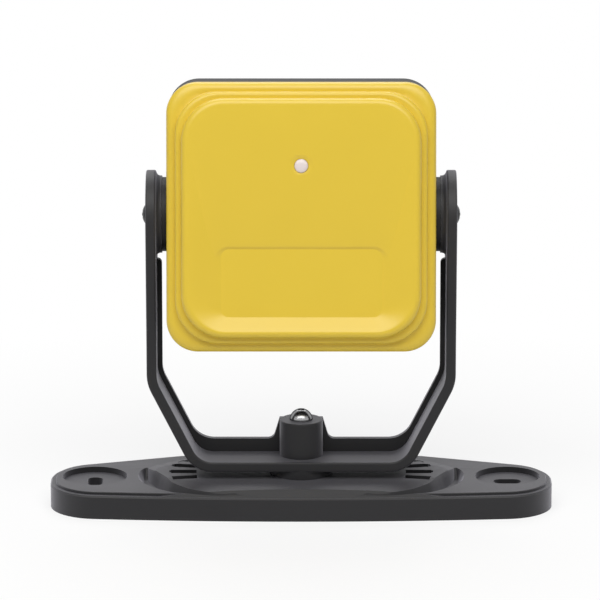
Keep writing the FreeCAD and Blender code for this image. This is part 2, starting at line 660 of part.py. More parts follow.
def add_socket(screw, crown):
    """Tamper-proof socket with a pin in its middle, sunk into the crown of a screw."""
    plan = sketch_on(screw, "socket_plan", "XY_Plane", crown)
    hexagon(plan, "socket_half")
    circle(plan, "0", "0", "socket_pin")
    extrude(screw, "Pocket", "socket", plan, "socket_depth")


# Fork

ARM_LEAN = "atan(arm_reach / (elbow_height - web_bottom))"


def arm_points(depth, floor=None):
    """Elbow and foot of the right arm on a line set in from its outer face, over a floor set in likewise."""
    floor = floor or depth
    elbow = (f"{FORK_HALF} - ({depth})", f"elbow_height + ({depth}) * tan({ARM_LEAN} / 2)")
    lean = f"({depth}) * cos({ARM_LEAN}) / (1 + sin({ARM_LEAN}))"
    foot = (f"{FOOT_HALF} - {lean} + (({floor}) - ({depth})) * tan({ARM_LEAN})", f"web_bottom + ({floor})")
    return elbow, foot


def make_fork():
    """Moulded U: bent web with ears, inner rib, boss with gusset, hub."""
    body = new_body("fork")
    top = "tilt_axis_height + ear_radius + edge_round"
    outer, inner = arm_points("0"), arm_points("web_thickness")
    outer_top, inner_top = (FORK_HALF, top), (f"{FORK_HALF} - web_thickness", top)
    web = sketch_on(body, "web_profile", "XZ_Plane")
    right = [outer[1], outer[0], outer_top, inner_top, inner[0], inner[1]]
    chain(web, right + [flip(p) for p in reversed(right)])
    extrude(body, "Pad", "web", web, "2 * (ear_radius + edge_round)", both=True)

    def bend(point):
        x, z = value(point[0]), value(point[1])
        return lambda e: math.hypot(abs(e.CenterOfMass.x) - x, e.CenterOfMass.z - z) < NEAR

    dress(body, "Fillet", "outer_elbows", "elbow_round", bend(outer[0]))
    dress(body, "Fillet", "inner_elbows", "elbow_round - web_thickness", bend(inner[0]))
    dress(body, "Fillet", "outer_feet", "foot_round", bend(outer[1]))
    dress(body, "Fillet", "inner_feet", "foot_round - web_thickness", bend(inner[1]))

    side = sketch_on(body, "side_trim", "YZ_Plane")
    reach, low, high = "2 * ear_radius", "-web_bottom", "tilt_axis_height + 2 * ear_radius"
    chain(side, [(f"-({reach})", low), (reach, low), (reach, high), (f"-({reach})", high)])
    kink = "tilt_axis_height - (ear_radius - web_half * cos(arm_taper)) / sin(arm_taper)"
    run = "taper_round * tan(arm_taper / 2)"
    right = [("web_half", "0"), ("web_half", f"{kink} - {run}"),
             (f"web_half + {run} * sin(arm_taper)", f"{kink} + {run} * cos(arm_taper)"),
             ("ear_radius * cos(arm_taper)", "tilt_axis_height - ear_radius * sin(arm_taper)")]
    centre = ("web_half + taper_round", f"{kink} - {run}")
    chain(side, right + [flip(p) for p in reversed(right)],
          {1: centre, 3: ("0", "tilt_axis_height"), 5: flip(centre)}, hollows=(1, 5))
    extrude(body, "Pocket", "side_shape", side, f"3 * {FORK_HALF}", both=True)

    def wall_edge(edge):
        box = edge.BoundBox
        across_wall = box.XLength < NEAR and box.ZLength < NEAR
        through_wall = edge.Length < value("web_thickness + fork_edge")
        return not across_wall and not through_wall

    dress(body, "Fillet", "wall_edges", "fork_edge", wall_edge)

    ear_boss = sketch_on(body, "ear_boss_plan", "YZ_Plane", f"{HEAD_HALF} + disc_space")
    circle(ear_boss, "0", "tilt_axis_height", "ear_boss_radius")
    right_boss = extrude(body, "Pad", "ear_boss", ear_boss, "ear_boss_height + web_thickness / 2")
    mirror(body, "ear_bosses", right_boss, "YZ_Plane")

    def ear_boss_foot(edge):
        on_ear = abs(abs(edge.CenterOfMass.x) - value(f"{FORK_HALF} - web_thickness")) < NEAR
        return on_ear and abs(edge.Length - value("2 * pi * ear_boss_radius")) < NEAR

    dress(body, "Fillet", "ear_boss_roots", "ear_boss_root", ear_boss_foot)

    rib_depth = "web_thickness + arm_rib"
    rib_floor = "web_thickness + floor_rib"
    buried = arm_points("web_thickness / 2")
    free = arm_points(rib_depth, rib_floor)
    stop = "tilt_axis_height - rib_stop"
    gusset_foot = ("gusset_half", f"web_bottom + {rib_floor}")
    gusset_top = ("boss_radius", "boss_height - gusset_drop")
    rib = sketch_on(body, "rib_profile", "XZ_Plane", "rib_front")
    right = [buried[1], buried[0], (buried[0][0], stop), (free[0][0], stop), free[0], free[1],
             gusset_foot, gusset_top]
    chain(rib, right + [flip(p) for p in reversed(right)])
    extrude(body, "Pad", "rib", rib, "rib_thickness", back=True)

    def across_rib(point):
        near = bend(point)
        return lambda e: near(e) and abs(e.BoundBox.YLength - value("rib_thickness")) < NEAR

    dress(body, "Fillet", "rib_feet", "rib_round", across_rib(free[1]))
    dress(body, "Fillet", "rib_elbows", "elbow_round - web_thickness - arm_rib", across_rib(free[0]))
    dress(body, "Fillet", "gusset_feet", "gusset_round", across_rib(gusset_foot))
    dress(body, "Fillet", "rib_ends", "rib_end_round", across_rib((free[0][0], stop)))

    boss = sketch_on(body, "boss_plan", "XY_Plane", "web_bottom")
    circle(boss, "0", "0", "boss_radius")
    extrude(body, "Pad", "boss", boss, "boss_height - web_bottom")
    dress(body, "Fillet", "boss_edge", "edge_round", lambda e: level_edge(e, value("boss_height")))
    seat = f"{OVAL_TOP} + running_gap"
    hub = sketch_on(body, "hub_plan", "XY_Plane", seat)
    circle(hub, "0", "0", "hub_radius")
    extrude(body, "Pad", "hub", hub, f"web_bottom + web_thickness / 2 - ({seat})")
    bore = sketch_on(body, "pan_bore_plan", "XY_Plane", "boss_height")
    circle(bore, "0", "0", "pan_screw_radius + shaft_gap")
    extrude(body, "Pocket", "pan_bore", bore, "boss_height")

    bores = sketch_on(body, "tilt_bore_plan", "YZ_Plane")
    circle(bores, "0", "tilt_axis_height", "tilt_screw_radius + shaft_gap")
    extrude(body, "Pocket", "tilt_bores", bores, f"3 * {FORK_HALF}", both=True)
    sink = sketch_on(body, "tilt_sink_plan", "YZ_Plane", FORK_HALF)
    circle(sink, "0", "tilt_axis_height", "tilt_head_radius + shaft_gap")
    right_sink = extrude(body, "Pocket", "tilt_sink", sink, "tilt_head_sink")
    mirror(body, "tilt_sinks", right_sink, "YZ_Plane")
    finish(body)


# Head shells


def corner_places():
    """Across and up of the four housing screws."""
    return [(f"{a}{CORNER_PLACE}", f"{b}{CORNER_PLACE}") for a in ("", "-") for b in ("", "-")]


def post_places():
    """Across and up of the four board posts."""
    return [(f"{a}{POST_PLACE}", f"{b}{POST_PLACE}") for a in ("", "-") for b in ("", "-")]


def square(body, name, ahead, inset, radius):
    """Rounded square across the head, drawn in from its side by an inset."""
    sketch = sketch_on(body, name, "XZ_Plane", ahead)
    half = f"{HEAD_HALF} - ({inset})"
    rounded_rectangle(sketch, half, half, radius)
    return sketch


def circles(body, name, ahead, places, radius):
    """Like circles on a plane across the head."""
    sketch = sketch_on(body, name, "XZ_Plane", ahead)
    for across, up in places:
        circle(sketch, across, up, radius)
    return sketch


def make_front_cover():
    """Radome: bevelled flange, two rounded steps, dished face with a flat window, hollow rear."""
    body = new_body("front_cover")
    flange = square(body, "flange_plan", "joint_ahead", "0", "head_round")
    extrude(body, "Pad", "flange", flange, "face_ahead - step_one_drop - joint_ahead")
    front = value("face_ahead - step_one_drop")
    dress(body, "Fillet", "flange_bevel", "flange_edge", lambda e: level_edge(e, -front, "Y"))

    step_one = square(body, "step_one_plan", "face_ahead - step_one_drop", "step_one_inset", "step_round")
    extrude(body, "Pad", "step_one", step_one, "step_one_drop - step_two_drop")
    second = value("face_ahead - step_two_drop")
    dress(body, "Fillet", "step_one_bevel", "step_one_edge", lambda e: level_edge(e, -second, "Y"))

    step_two = square(body, "step_two_plan", "face_ahead - step_two_drop", "step_two_inset", "step_round")
    extrude(body, "Pad", "step_two", step_two, "step_two_drop")
    third = value("face_ahead")
    dress(body, "Fillet", "step_two_bevel", "step_two_edge", lambda e: level_edge(e, -third, "Y"))

    sections = [square(body, "dish_rim", "face_ahead", "rim_inset", "rim_round")]
    # sides and bottom run straight to the window, the upper slope steepens towards it
    bends = [("dish_upper_depth", "dish_upper_height"), ("dish_lower_depth", "dish_lower_height"),
             ("dish_depth", "-window_top")]
    for depth, high in bends:
        share = f"{depth} / dish_depth"
        low = f"({RIM_HALF} - window_foot * {share})"
        half = f"{RIM_HALF} - window_side * {share}"
        corner = f"rim_round + (window_round - rim_round) * {share}"
        sketch = sketch_on(body, f"{depth}_plan", "XZ_Plane", f"face_ahead - {depth}")
        rounded_rectangle(sketch, half, f"({low} + {high}) / 2", corner, up=f"({high} - {low}) / 2")
        sections.append(sketch)
    loft(body, "SubtractiveLoft", "dish", *sections)

    wide = square(body, "wide_hollow", "joint_ahead", "cover_wall", "head_round - cover_wall")
    extrude(body, "Pocket", "shelf", wide, "shelf_depth", back=True)
    roof = "face_ahead - dish_depth - radome_wall"
    narrow = square(body, "narrow_hollow", "joint_ahead", "step_two_inset + cover_wall",
                    "step_round - cover_wall")
    extrude(body, "Pocket", "hollow", narrow, f"{roof} - joint_ahead", back=True)

    bosses = circles(body, "boss_plan", "joint_ahead", corner_places(), "corner_boss")
    extrude(body, "Pad", "bosses", bosses, "shelf_depth")
    pilots = circles(body, "pilot_plan", "joint_ahead", corner_places(), "case_screw_radius + seat_gap")
    extrude(body, "Pocket", "pilots", pilots, "case_thread + seat_gap", back=True)
    light = circles(body, "light_plan", "joint_ahead", [("0", "light_height")], "light_radius + seat_gap")
    extrude(body, "Pocket", "light_hole", light, "face_ahead - joint_ahead", back=True)
    place_in_head(body)
    finish(body)


def make_rear_housing():
    """Rear half of the head: open box with screw bosses, board posts, pivot bosses and connector collars."""
    body = new_body("rear_housing")
    rear = square(body, "rear_plan", "-rear_behind", "0", "head_round")
    extrude(body, "Pad", "box", rear, "joint_ahead + rear_behind")
    dress(body, "Fillet", "rear_rim", "rear_edge", lambda e: level_edge(e, value("rear_behind"), "Y"))
    plugs = [(f"-{PLUG_ACROSS}", f"-{PLUG_DROP}"), (PLUG_ACROSS, f"-{PLUG_DROP}")]
    collars = circles(body, "collar_plan", "-rear_behind - collar_height", plugs, "collar_radius")
    extrude(body, "Pad", "collars", collars, "collar_height + rear_wall / 2")
    hollow = square(body, "hollow_plan", "rear_wall - rear_behind", "cover_wall", "head_round - cover_wall")
    extrude(body, "Pocket", "hollow", hollow, "joint_ahead + rear_behind", back=True)

    bosses = circles(body, "boss_plan", "rear_wall / 2 - rear_behind", corner_places(), "corner_boss")
    extrude(body, "Pad", "bosses", bosses, "joint_ahead + rear_behind - rear_wall / 2")
    through = circles(body, "screw_hole_plan", "-rear_behind", corner_places(),
                      "case_screw_radius + shaft_gap")
    extrude(body, "Pocket", "screw_holes", through, "joint_ahead + rear_behind", back=True)
    sinks = circles(body, "screw_sink_plan", "-rear_behind", corner_places(), "case_head_radius + seat_gap")
    extrude(body, "Pocket", "screw_sinks", sinks, "joint_ahead + rear_behind - case_grip", back=True)

    posts = circles(body, "post_plan", "rear_wall / 2 - rear_behind", post_places(), "post_radius")
    extrude(body, "Pad", "posts", posts, "rear_wall / 2 + post_length")
    pilots = circles(body, "post_pilot_plan", "rear_wall + post_length - rear_behind", post_places(),
                     "board_screw_radius + seat_gap")
    extrude(body, "Pocket", "post_pilots", pilots, "board_thread + seat_gap")

    depth = "spigot_length + insert_length + pivot_end"
    pivot = sketch_on(body, "pivot_plan", "YZ_Plane", f"{HEAD_HALF} - ({depth})")
    circle(pivot, "0", "0", "pivot_boss")
    boss = extrude(body, "Pad", "pivot_boss_right", pivot, f"{depth} - cover_wall / 2")
    mirror(body, "pivot_bosses", boss, "YZ_Plane")
    insert = sketch_on(body, "insert_plan", "YZ_Plane")
    circle(insert, "0", "0", "insert_radius + seat_gap")
    extrude(body, "Pocket", "insert_bores", insert, "2 * head_size", both=True)
    spigot = sketch_on(body, "spigot_plan", "YZ_Plane", HEAD_HALF)
    circle(spigot, "0", "0", "spigot_radius + seat_gap")
    bore = extrude(body, "Pocket", "spigot_bore", spigot, "spigot_length + seat_gap")
    mirror(body, "spigot_bores", bore, "YZ_Plane")

    necks = circles(body, "neck_plan", "-rear_behind - collar_height", plugs, "neck_radius + seat_gap")
    extrude(body, "Pocket", "neck_holes", necks, "collar_height + rear_wall", back=True)
    vent = circles(body, "vent_plan", "-rear_behind", [("0", "vent_height")], "vent_radius + seat_gap")
    extrude(body, "Pocket", "vent_hole", vent, "rear_wall", back=True)

    groove = square(body, "groove_plan", "joint_ahead", "seal_inset - seal_width / 2 - seat_gap",
                    "head_round - seal_inset + seal_width / 2 + seat_gap")
    half = f"{HEAD_HALF} - (seal_inset + seal_width / 2 + seat_gap)"
    rounded_rectangle(groove, half, half, "head_round - seal_inset - seal_width / 2 - seat_gap")
    extrude(body, "Pocket", "seal_groove", groove, "seal_height")
    place_in_head(body)
    finish(body)


def make_seal():
    """Gasket in the groove of the housing's front edge."""
    body = new_body("cover_seal")
    plan = square(body, "seal_plan", "joint_ahead - seal_height", "seal_inset - seal_width / 2",
                  "head_round - seal_inset + seal_width / 2")
    half = f"{HEAD_HALF} - (seal_inset + seal_width / 2)"
    rounded_rectangle(plan, half, half, "head_round - seal_inset - seal_width / 2")
    extrude(body, "Pad", "seal", plan, "seal_height")
    place_in_head(body)
    finish(body)


def make_housing_screws():
    """Four cap screws that draw the cover to the housing from behind."""
    screws = []
    for number, (across, up) in enumerate(corner_places(), 1):
        screw = turned(f"housing_screw_{number}",
                       [("0", "-case_head_height"), ("case_head_radius", "-case_head_height"),
                        ("case_head_radius", "0"), ("case_screw_radius", "0"),
                        ("case_screw_radius", "case_grip + case_thread"), ("0", "case_grip + case_thread")])
        place_in_head(screw, across, "joint_ahead - case_grip", up, "front")
        screws.append(screw)
    group("housing_screws", screws)


# Tilt pivots


def make_pivot(side):
    """Detent disc, threaded insert and domed screw at one side of the head."""
    face = "disc_space - running_gap"
    disc = turned(f"tilt_disc_{side}",
                  [("tilt_screw_radius + shaft_gap", "-spigot_length"), ("spigot_radius", "-spigot_length"),
                   ("spigot_radius", "running_gap"), ("disc_radius", "running_gap"),
                   ("disc_radius", face), ("tilt_screw_radius + shaft_gap", face)])
    groove = sketch_on(disc, "groove_plan", "XY_Plane", face)
    half = "tooth_width / 2"
    outer = "disc_radius - tooth_edge"
    chain(groove, [("tooth_inner", f"-{half}"), (outer, f"-{half}"), (outer, half), ("tooth_inner", half)])
    first = extrude(disc, "Pocket", "first_groove", groove, "tooth_depth")
    ring_of(disc, "grooves", first, "Z_Axis", "360", "360 / notch_step")
    place_on_tilt_axis(disc, side, HEAD_HALF)
    finish(disc)

    start = f"{HEAD_HALF} - spigot_length - insert_length"
    insert = turned(f"tilt_insert_{side}",
                    [("tilt_screw_radius + seat_gap", "0"), ("insert_radius", "0"),
                     ("insert_radius", "insert_length"), ("tilt_screw_radius + seat_gap", "insert_length")])
    place_on_tilt_axis(insert, side, start)
    finish(insert)

    seat = "disc_space + ear_boss_height + web_thickness - tilt_head_sink + running_gap"
    rim = f"{seat} + tilt_head_rim"
    crown = f"{rim} + tilt_dome"
    centre = f"{rim} + (tilt_dome^2 - tilt_head_radius^2) / (2 * tilt_dome)"
    tip = "-spigot_length - tilt_thread"
    screw = turned(f"tilt_screw_{side}",
                   [("0", tip), ("tilt_screw_radius", tip), ("tilt_screw_radius", seat),
                    ("tilt_head_radius", seat), ("tilt_head_radius", rim), ("0", crown)],
                   {4: ("0", centre)})
    add_socket(screw, crown)
    place_on_tilt_axis(screw, side, HEAD_HALF)
    finish(screw)


# Electronics

MAIN_REAR = "rear_wall + post_length - rear_behind"
MAIN_FRONT = f"{MAIN_REAR} + board_thickness"
ANTENNA_REAR = f"{MAIN_FRONT} + spacer_length"
ANTENNA_FRONT = f"{ANTENNA_REAR} + board_thickness"


def make_board(label, rear):
    """Circuit board with a hole in each corner."""
    body = new_body(label)
    plan = sketch_on(body, f"{label}_plan", "XZ_Plane", rear)
    rounded_rectangle(plan, BOARD_HALF, BOARD_HALF, "board_round")
    for across, up in post_places():
        circle(plan, across, up, "board_screw_radius + shaft_gap")
    extrude(body, "Pad", f"{label}_sheet", plan, "board_thickness")
    place_in_head(body)
    finish(body)


def make_block(label, rear, half_width, half_height, height, up="0"):
    """Rectangular component standing on the front of a board."""
    body = new_body(label)
    plan = sketch_on(body, f"{label}_plan", "XZ_Plane", rear)
    low, high = f"{up} - ({half_height})", f"{up} + ({half_height})"
    left = f"-({half_width})"
    chain(plan, [(left, low), (half_width, low), (half_width, high), (left, high)])
    extrude(body, "Pad", f"{label}_block", plan, height)
    place_in_head(body)
    finish(body)


def make_electronics():
    """Board stack on the housing's posts, with its chips, header, spacers and screws."""
    make_board("main_board", MAIN_REAR)
    make_board("antenna_board", ANTENNA_REAR)
    make_block("processor_chip", MAIN_FRONT, "processor_half", "processor_half", "chip_height")
    make_block("board_link", MAIN_FRONT, "link_half_length", "link_half_width", "spacer_length",
               "link_height")
    make_block("radar_chip", ANTENNA_FRONT, "chip_half", "chip_half", "chip_height",
               f"-(window_top + {RIM_HALF} - window_foot) / 2")
    make_block("status_led", ANTENNA_FRONT, "led_half", "led_half", "chip_height", "light_height")
    spacers, screws = [], []
    bore = "board_screw_radius + shaft_gap"
    grip = "spacer_length + 2 * board_thickness"
    for number, (across, up) in enumerate(post_places(), 1):
        spacer = turned(f"board_spacer_{number}",
                        [(bore, "0"), ("spacer_radius", "0"), ("spacer_radius", "spacer_length"),
                         (bore, "spacer_length")])
        place_in_head(spacer, across, MAIN_FRONT, up, "front")
        spacers.append(spacer)
        tip = f"-({grip}) - board_thread"
        screw = turned(f"board_screw_{number}",
                       [("0", tip), ("board_screw_radius", tip), ("board_screw_radius", "0"),
                        ("board_head_radius", "0"), ("board_head_radius", "board_head_height"),
                        ("0", "board_head_height")])
        place_in_head(screw, across, ANTENNA_FRONT, up, "front")
        screws.append(screw)
    group("board_spacers", spacers)
    group("board_screws", screws)


def make_light_pipe():
    """Light pipe from the lamp to the face, with a flange behind the radome."""
    start = f"{ANTENNA_FRONT} + chip_height + running_gap"
    wall = "face_ahead - dish_depth - radome_wall"
    face = "face_ahead - dish_upper_depth - light_sink"
    length = f"({face}) - ({start})"
    flange = f"({wall}) - ({start}) - seat_gap"
    pipe = turned("status_light_pipe",
                  [("0", "0"), ("light_radius", "0"), ("light_radius", f"{flange} - light_flange_depth"),
                   ("light_radius + light_flange", f"{flange} - light_flange_depth"),
                   ("light_radius + light_flange", flange), ("light_radius", flange),
                   ("light_radius", length), ("0", length)])
    place_in_head(pipe, "0", start, "light_height", "front")
    finish(pipe)


# Connectors and vent

PLUG_SEAT = "-(rear_behind + collar_height)"


def contact_places():
    """Four contacts on a circle and one in the middle, as across and up from the connector's axis."""
    around = [(f"pin_circle * cos({a})", f"pin_circle * sin({a})") for a in (45, 135, 225, 315)]
    return around + [("0", "0")]


def make_contacts(label, side, radius, start, end):
    """Five like contacts of one connector, from a height to a height along its axis."""
    contacts = []
    for number, (across, up) in enumerate(contact_places(), 1):
        pin = turned(f"{label}_{number}", [("0", start), (radius, start), (radius, end), ("0", end)])
        place_in_head(pin, f"{side}{PLUG_ACROSS} + {across}", PLUG_SEAT, f"{up} - {PLUG_DROP}", "back")
        contacts.append(pin)
    group(label, contacts)


def insert_body(label, corners, radius):
    """Contact carrier turned from a profile and bored for its five contacts."""
    carrier = turned(label, corners)
    plan = sketch_on(carrier, "contact_plan", "XY_Plane")
    for across, up in contact_places():
        circle(plan, across, up if up == "0" else f"-({up})", f"{radius} + seat_gap")
    extrude(carrier, "Pocket", "contact_bores", plan, "4 * thread_length", both=True)
    return carrier


def make_connectors():
    """Five-pole M12 inlet with an outside thread, and outlet with an inside thread."""
    inner_end = "-(collar_height + rear_wall)"
    seat = "gasket_thickness"
    flange = f"{seat} + flange_thickness"
    mouth = f"{flange} + thread_length"
    floor = f"{mouth} - mouth_depth"
    board = "-(collar_height + rear_wall + post_length)"

    shell = turned("male_connector_shell",
                   [("male_bore", inner_end), ("neck_radius", inner_end), ("neck_radius", seat),
                    ("flange_radius", seat), ("flange_radius", flange), ("thread_radius", flange),
                    ("thread_radius", mouth), ("male_bore", mouth)])
    place_in_head(shell, f"-{PLUG_ACROSS}", PLUG_SEAT, f"-{PLUG_DROP}", "back")
    finish(shell)
    tail = f"{inner_end} - rear_wall"
    carrier = insert_body("male_connector_insert",
                          [("0", tail), ("male_bore - seat_gap", tail),
                           ("male_bore - seat_gap", floor), ("0", floor)], "pin_radius")
    place_in_head(carrier, f"-{PLUG_ACROSS}", PLUG_SEAT, f"-{PLUG_DROP}", "back")
    finish(carrier)
    make_contacts("male_connector_pins", "-", "pin_radius", board, f"{mouth} - pin_sink")

    shell = turned("female_connector_shell",
                   [("socket_nose + seat_gap", inner_end), ("neck_radius", inner_end), ("neck_radius", seat),
                    ("flange_radius", seat), ("flange_radius", flange), ("female_outer", flange),
                    ("female_outer", mouth), ("thread_radius", mouth), ("thread_radius", floor),
                    ("socket_nose + seat_gap", floor)])
    place_in_head(shell, PLUG_ACROSS, PLUG_SEAT, f"-{PLUG_DROP}", "back")
    finish(shell)
    nose = f"{mouth} - nose_sink"
    carrier = insert_body("female_connector_insert",
                          [("0", tail), ("socket_nose", tail), ("socket_nose", nose), ("0", nose)],
                          "contact_radius")
    place_in_head(carrier, PLUG_ACROSS, PLUG_SEAT, f"-{PLUG_DROP}", "back")
    finish(carrier)
    make_contacts("female_connector_contacts", "", "contact_radius", board, f"{nose} - contact_radius")

    gaskets = []
    for number, side in enumerate(("-", ""), 1):
        gasket = turned(f"connector_gasket_{number}",
                        [("neck_radius + seat_gap", "0"), ("flange_radius", "0"), ("flange_radius", seat),
                         ("neck_radius + seat_gap", seat)])
        place_in_head(gasket, f"{side}{PLUG_ACROSS}", PLUG_SEAT, f"-{PLUG_DROP}", "back")
        gaskets.append(gasket)
    group("connector_gaskets", gaskets)


def make_vent():
    """Mushroom-shaped pressure vent pushed into the rear wall."""
    vent = turned("vent_plug", [("0", "-rear_wall"), ("vent_radius", "-rear_wall"), ("vent_radius", "0"),
                                ("vent_cap", "0"), ("vent_cap", "vent_cap_height"), ("0", "vent_cap_height")])
    place_in_head(vent, "0", "-rear_behind", "vent_height", "back")
    finish(vent)


make_base()
make_pan_fixing()
make_fork()
make_front_cover()
make_rear_housing()
make_seal()
make_housing_screws()
make_pivot("left")
make_pivot("right")
make_electronics()
make_light_pipe()
make_connectors()
make_vent()
doc.recompute()

for item in doc.Objects:
    if "Invalid" in item.State or "Error" in item.State:
        raise RuntimeError(f"{item.Label} failed")
for piece in pieces:
    if piece.Shape.isNull() or not piece.Shape.isValid():
        raise RuntimeError(f"{piece.Label} has no sound shape")

os.makedirs("parts", exist_ok=True)
for piece in pieces:
    piece.Shape.exportStep(f"parts/{piece.Label}.step")
    print(piece.Label, len(piece.Shape.Solids), round(piece.Shape.Volume, 1))
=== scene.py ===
import math

import bmesh
import bpy
import numpy as np
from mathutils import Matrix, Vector


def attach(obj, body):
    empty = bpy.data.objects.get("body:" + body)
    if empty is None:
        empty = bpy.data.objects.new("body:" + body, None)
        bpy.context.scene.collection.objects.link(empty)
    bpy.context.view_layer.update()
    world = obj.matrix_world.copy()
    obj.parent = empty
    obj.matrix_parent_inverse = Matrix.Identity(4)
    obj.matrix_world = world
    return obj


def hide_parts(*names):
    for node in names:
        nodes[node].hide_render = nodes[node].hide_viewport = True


# Looks of a safety radar sensor on a swivel bracket. Metres, +Z up, the yellow face looks along -Y.

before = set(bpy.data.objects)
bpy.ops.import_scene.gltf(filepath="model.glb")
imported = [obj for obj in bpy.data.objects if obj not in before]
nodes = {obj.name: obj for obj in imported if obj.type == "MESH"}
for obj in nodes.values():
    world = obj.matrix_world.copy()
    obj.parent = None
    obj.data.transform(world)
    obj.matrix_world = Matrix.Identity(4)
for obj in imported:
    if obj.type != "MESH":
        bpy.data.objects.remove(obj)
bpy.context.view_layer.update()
scene = bpy.context.scene
scene.view_settings.view_transform = "Standard"


# Finishes

CLOUD_SIZE, CLOUD_DETAIL, CLOUD_SHARE, CLOUD_GLOSS = 0.02, 3.0, 0.7, 0.06
GRAIN_SIZE, GRAIN_DETAIL, GRAIN_GLOSS, GRAIN_DEPTH = 0.0004, 2.0, 0.10, 0.000012
MARK_SIZE, MARK_DETAIL, MARK_SHARE, MARK_GLOSS = 0.0003, 3.0, 0.5, 0.08
STAIN_SIZE, STAIN_DETAIL, STAIN_GLOSS = 0.004, 2.0, 0.05
MIDDLE = 0.5
FINISHES = {}


class Value:
    """A number or colour that varies over a surface. Arithmetic on values adds Math nodes."""

    def __init__(self, graph, socket):
        self.graph = graph
        self.socket = socket

    def worked(self, operation, *terms):
        """Value of a Math node with an operation and its terms."""
        return self.graph.node("ShaderNodeMath", {"operation": operation}, dict(enumerate(terms)))

    def __add__(self, other):
        return self.worked("ADD", self, other)

    def __sub__(self, other):
        return self.worked("SUBTRACT", self, other)

    def __rsub__(self, other):
        return self.worked("SUBTRACT", other, self)

    def __mul__(self, other):
        return self.worked("MULTIPLY", self, other)

    __radd__ = __add__
    __rmul__ = __mul__


class Graph:
    """A node tree of a material or of the world."""

    def __init__(self, tree):
        self.tree = tree

    def node(self, kind, settings=None, sockets=None, output=0):
        """Add a node: first its settings, then the values and links of its sockets."""
        made = self.tree.nodes.new(kind)
        for key, value in (settings or {}).items():
            setattr(made, key, value)
        for key, value in (sockets or {}).items():
            if isinstance(value, Value):
                self.tree.links.new(value.socket, made.inputs[key])
            else:
                made.inputs[key].default_value = value
        return Value(self, made.outputs[output])

    def other(self, value, output):
        """Another output of the node that a value comes from."""
        return Value(self, value.socket.node.outputs[output])

    def seen(self):
        """1 for looks that are straight, mirrored or through glass, 0 for light that falls on things."""
        straight = self.node("ShaderNodeLightPath", output="Is Camera Ray")
        mirrored = self.other(straight, "Is Glossy Ray")
        return straight + mirrored + self.other(straight, "Is Transmission Ray")


class Finish(Graph):
    """One material. What is even all over is set on its shader, what varies is fed to it.

    The even values are given by the names of the shader's sockets, with underscores for spaces.
    """

    def __init__(self, name, **even):
        self.material = bpy.data.materials.new(name)
        self.material.use_nodes = True
        super().__init__(self.material.node_tree)
        self.shader = self.tree.nodes["Principled BSDF"]
        for socket, value in even.items():
            self.shader.inputs[socket.replace("_", " ")].default_value = value
        self.place = self.node("ShaderNodeTexCoord", output="Object")

    def feed(self, socket, value):
        """Link a varying value to one of the shader's sockets."""
        self.tree.links.new(value.socket, self.shader.inputs[socket])

    def noise(self, size, detail):
        """Cloudy pattern from 0 to 1 whose blotches are about as large as size, in metres."""
        return self.node("ShaderNodeTexNoise", None,
                         {"Vector": self.place, "Scale": 1 / size, "Detail": detail})

    def between(self, share, first, second):
        """Colour between two others, which are inputs 6 and 7 of the node. Its output 2 is the colour."""
        return self.node("ShaderNodeMix", {"data_type": "RGBA"},
                         {0: share, 6: (*first, 1), 7: (*second, 1)}, output=2)

    def relief(self, height, depth):
        """Bumps of a real depth in metres."""
        self.feed("Normal", self.node("ShaderNodeBump", None, {"Height": height, "Distance": depth}))


def moulded(name, dark, light, rough, **even):
    """Moulded plastic: cloudy colour, and the fine spark-eroded grain of its tool in gloss and relief."""
    finish = Finish(name, **even)
    cloud = finish.noise(CLOUD_SIZE, CLOUD_DETAIL)
    grain = finish.noise(GRAIN_SIZE, GRAIN_DETAIL)
    share = CLOUD_SHARE * cloud + (1 - CLOUD_SHARE) * grain
    finish.feed("Base Color", finish.between(share, dark, light))
    finish.feed("Roughness", rough + GRAIN_GLOSS * (grain - MIDDLE) + CLOUD_GLOSS * (cloud - MIDDLE))
    finish.relief(grain, GRAIN_DEPTH)
    FINISHES[name] = finish.material


def metal(name, dark, light, rough, **even):
    """Turned or plated metal: fine marks and broader stains, in colour and gloss."""
    finish = Finish(name, Metallic=1.0, **even)
    marks = finish.noise(MARK_SIZE, MARK_DETAIL)
    stain = finish.noise(STAIN_SIZE, STAIN_DETAIL)
    share = MARK_SHARE * marks + (1 - MARK_SHARE) * stain
    finish.feed("Base Color", finish.between(share, dark, light))
    finish.feed("Roughness", rough + MARK_GLOSS * (marks - MIDDLE) + STAIN_GLOSS * (stain - MIDDLE))
    FINISHES[name] = finish.material


moulded("dark_plastic", (0.0064, 0.0062, 0.0065), (0.0090, 0.0087, 0.0092), 0.50, Specular_IOR_Level=0.30,
        Sheen_Weight=0.45, Sheen_Roughness=0.50, Sheen_Tint=(0.92, 0.905, 1.0, 1))
moulded("disc_plastic", (0.0062, 0.0058, 0.0052), (0.0088, 0.0083, 0.0075), 0.50, Specular_IOR_Level=0.30)
moulded("yellow_plastic", (0.683, 0.481, 0.025), (0.721, 0.508, 0.031), 0.36, Specular_IOR_Level=0.60)
moulded("black_plastic", (0.0048, 0.0048, 0.005), (0.0075, 0.0075, 0.0078), 0.62, Specular_IOR_Level=0.22)
moulded("white_lens", (0.72, 0.63, 0.61), (0.77, 0.675, 0.655), 0.22)
moulded("seal_rubber", (0.012, 0.012, 0.012), (0.020, 0.020, 0.020), 0.70)
moulded("board", (0.010, 0.080, 0.030), (0.016, 0.110, 0.045), 0.40)
moulded("chip", (0.012, 0.012, 0.013), (0.020, 0.020, 0.021), 0.50)
moulded("plug_plastic", (0.010, 0.010, 0.010), (0.016, 0.016, 0.016), 0.45)
metal("polished_steel", (0.30, 0.30, 0.305), (0.36, 0.36, 0.365), 0.24, Specular_Tint=(0.01, 0.01, 0.01, 1))
metal("black_steel", (0.020, 0.020, 0.022), (0.035, 0.035, 0.037), 0.38)
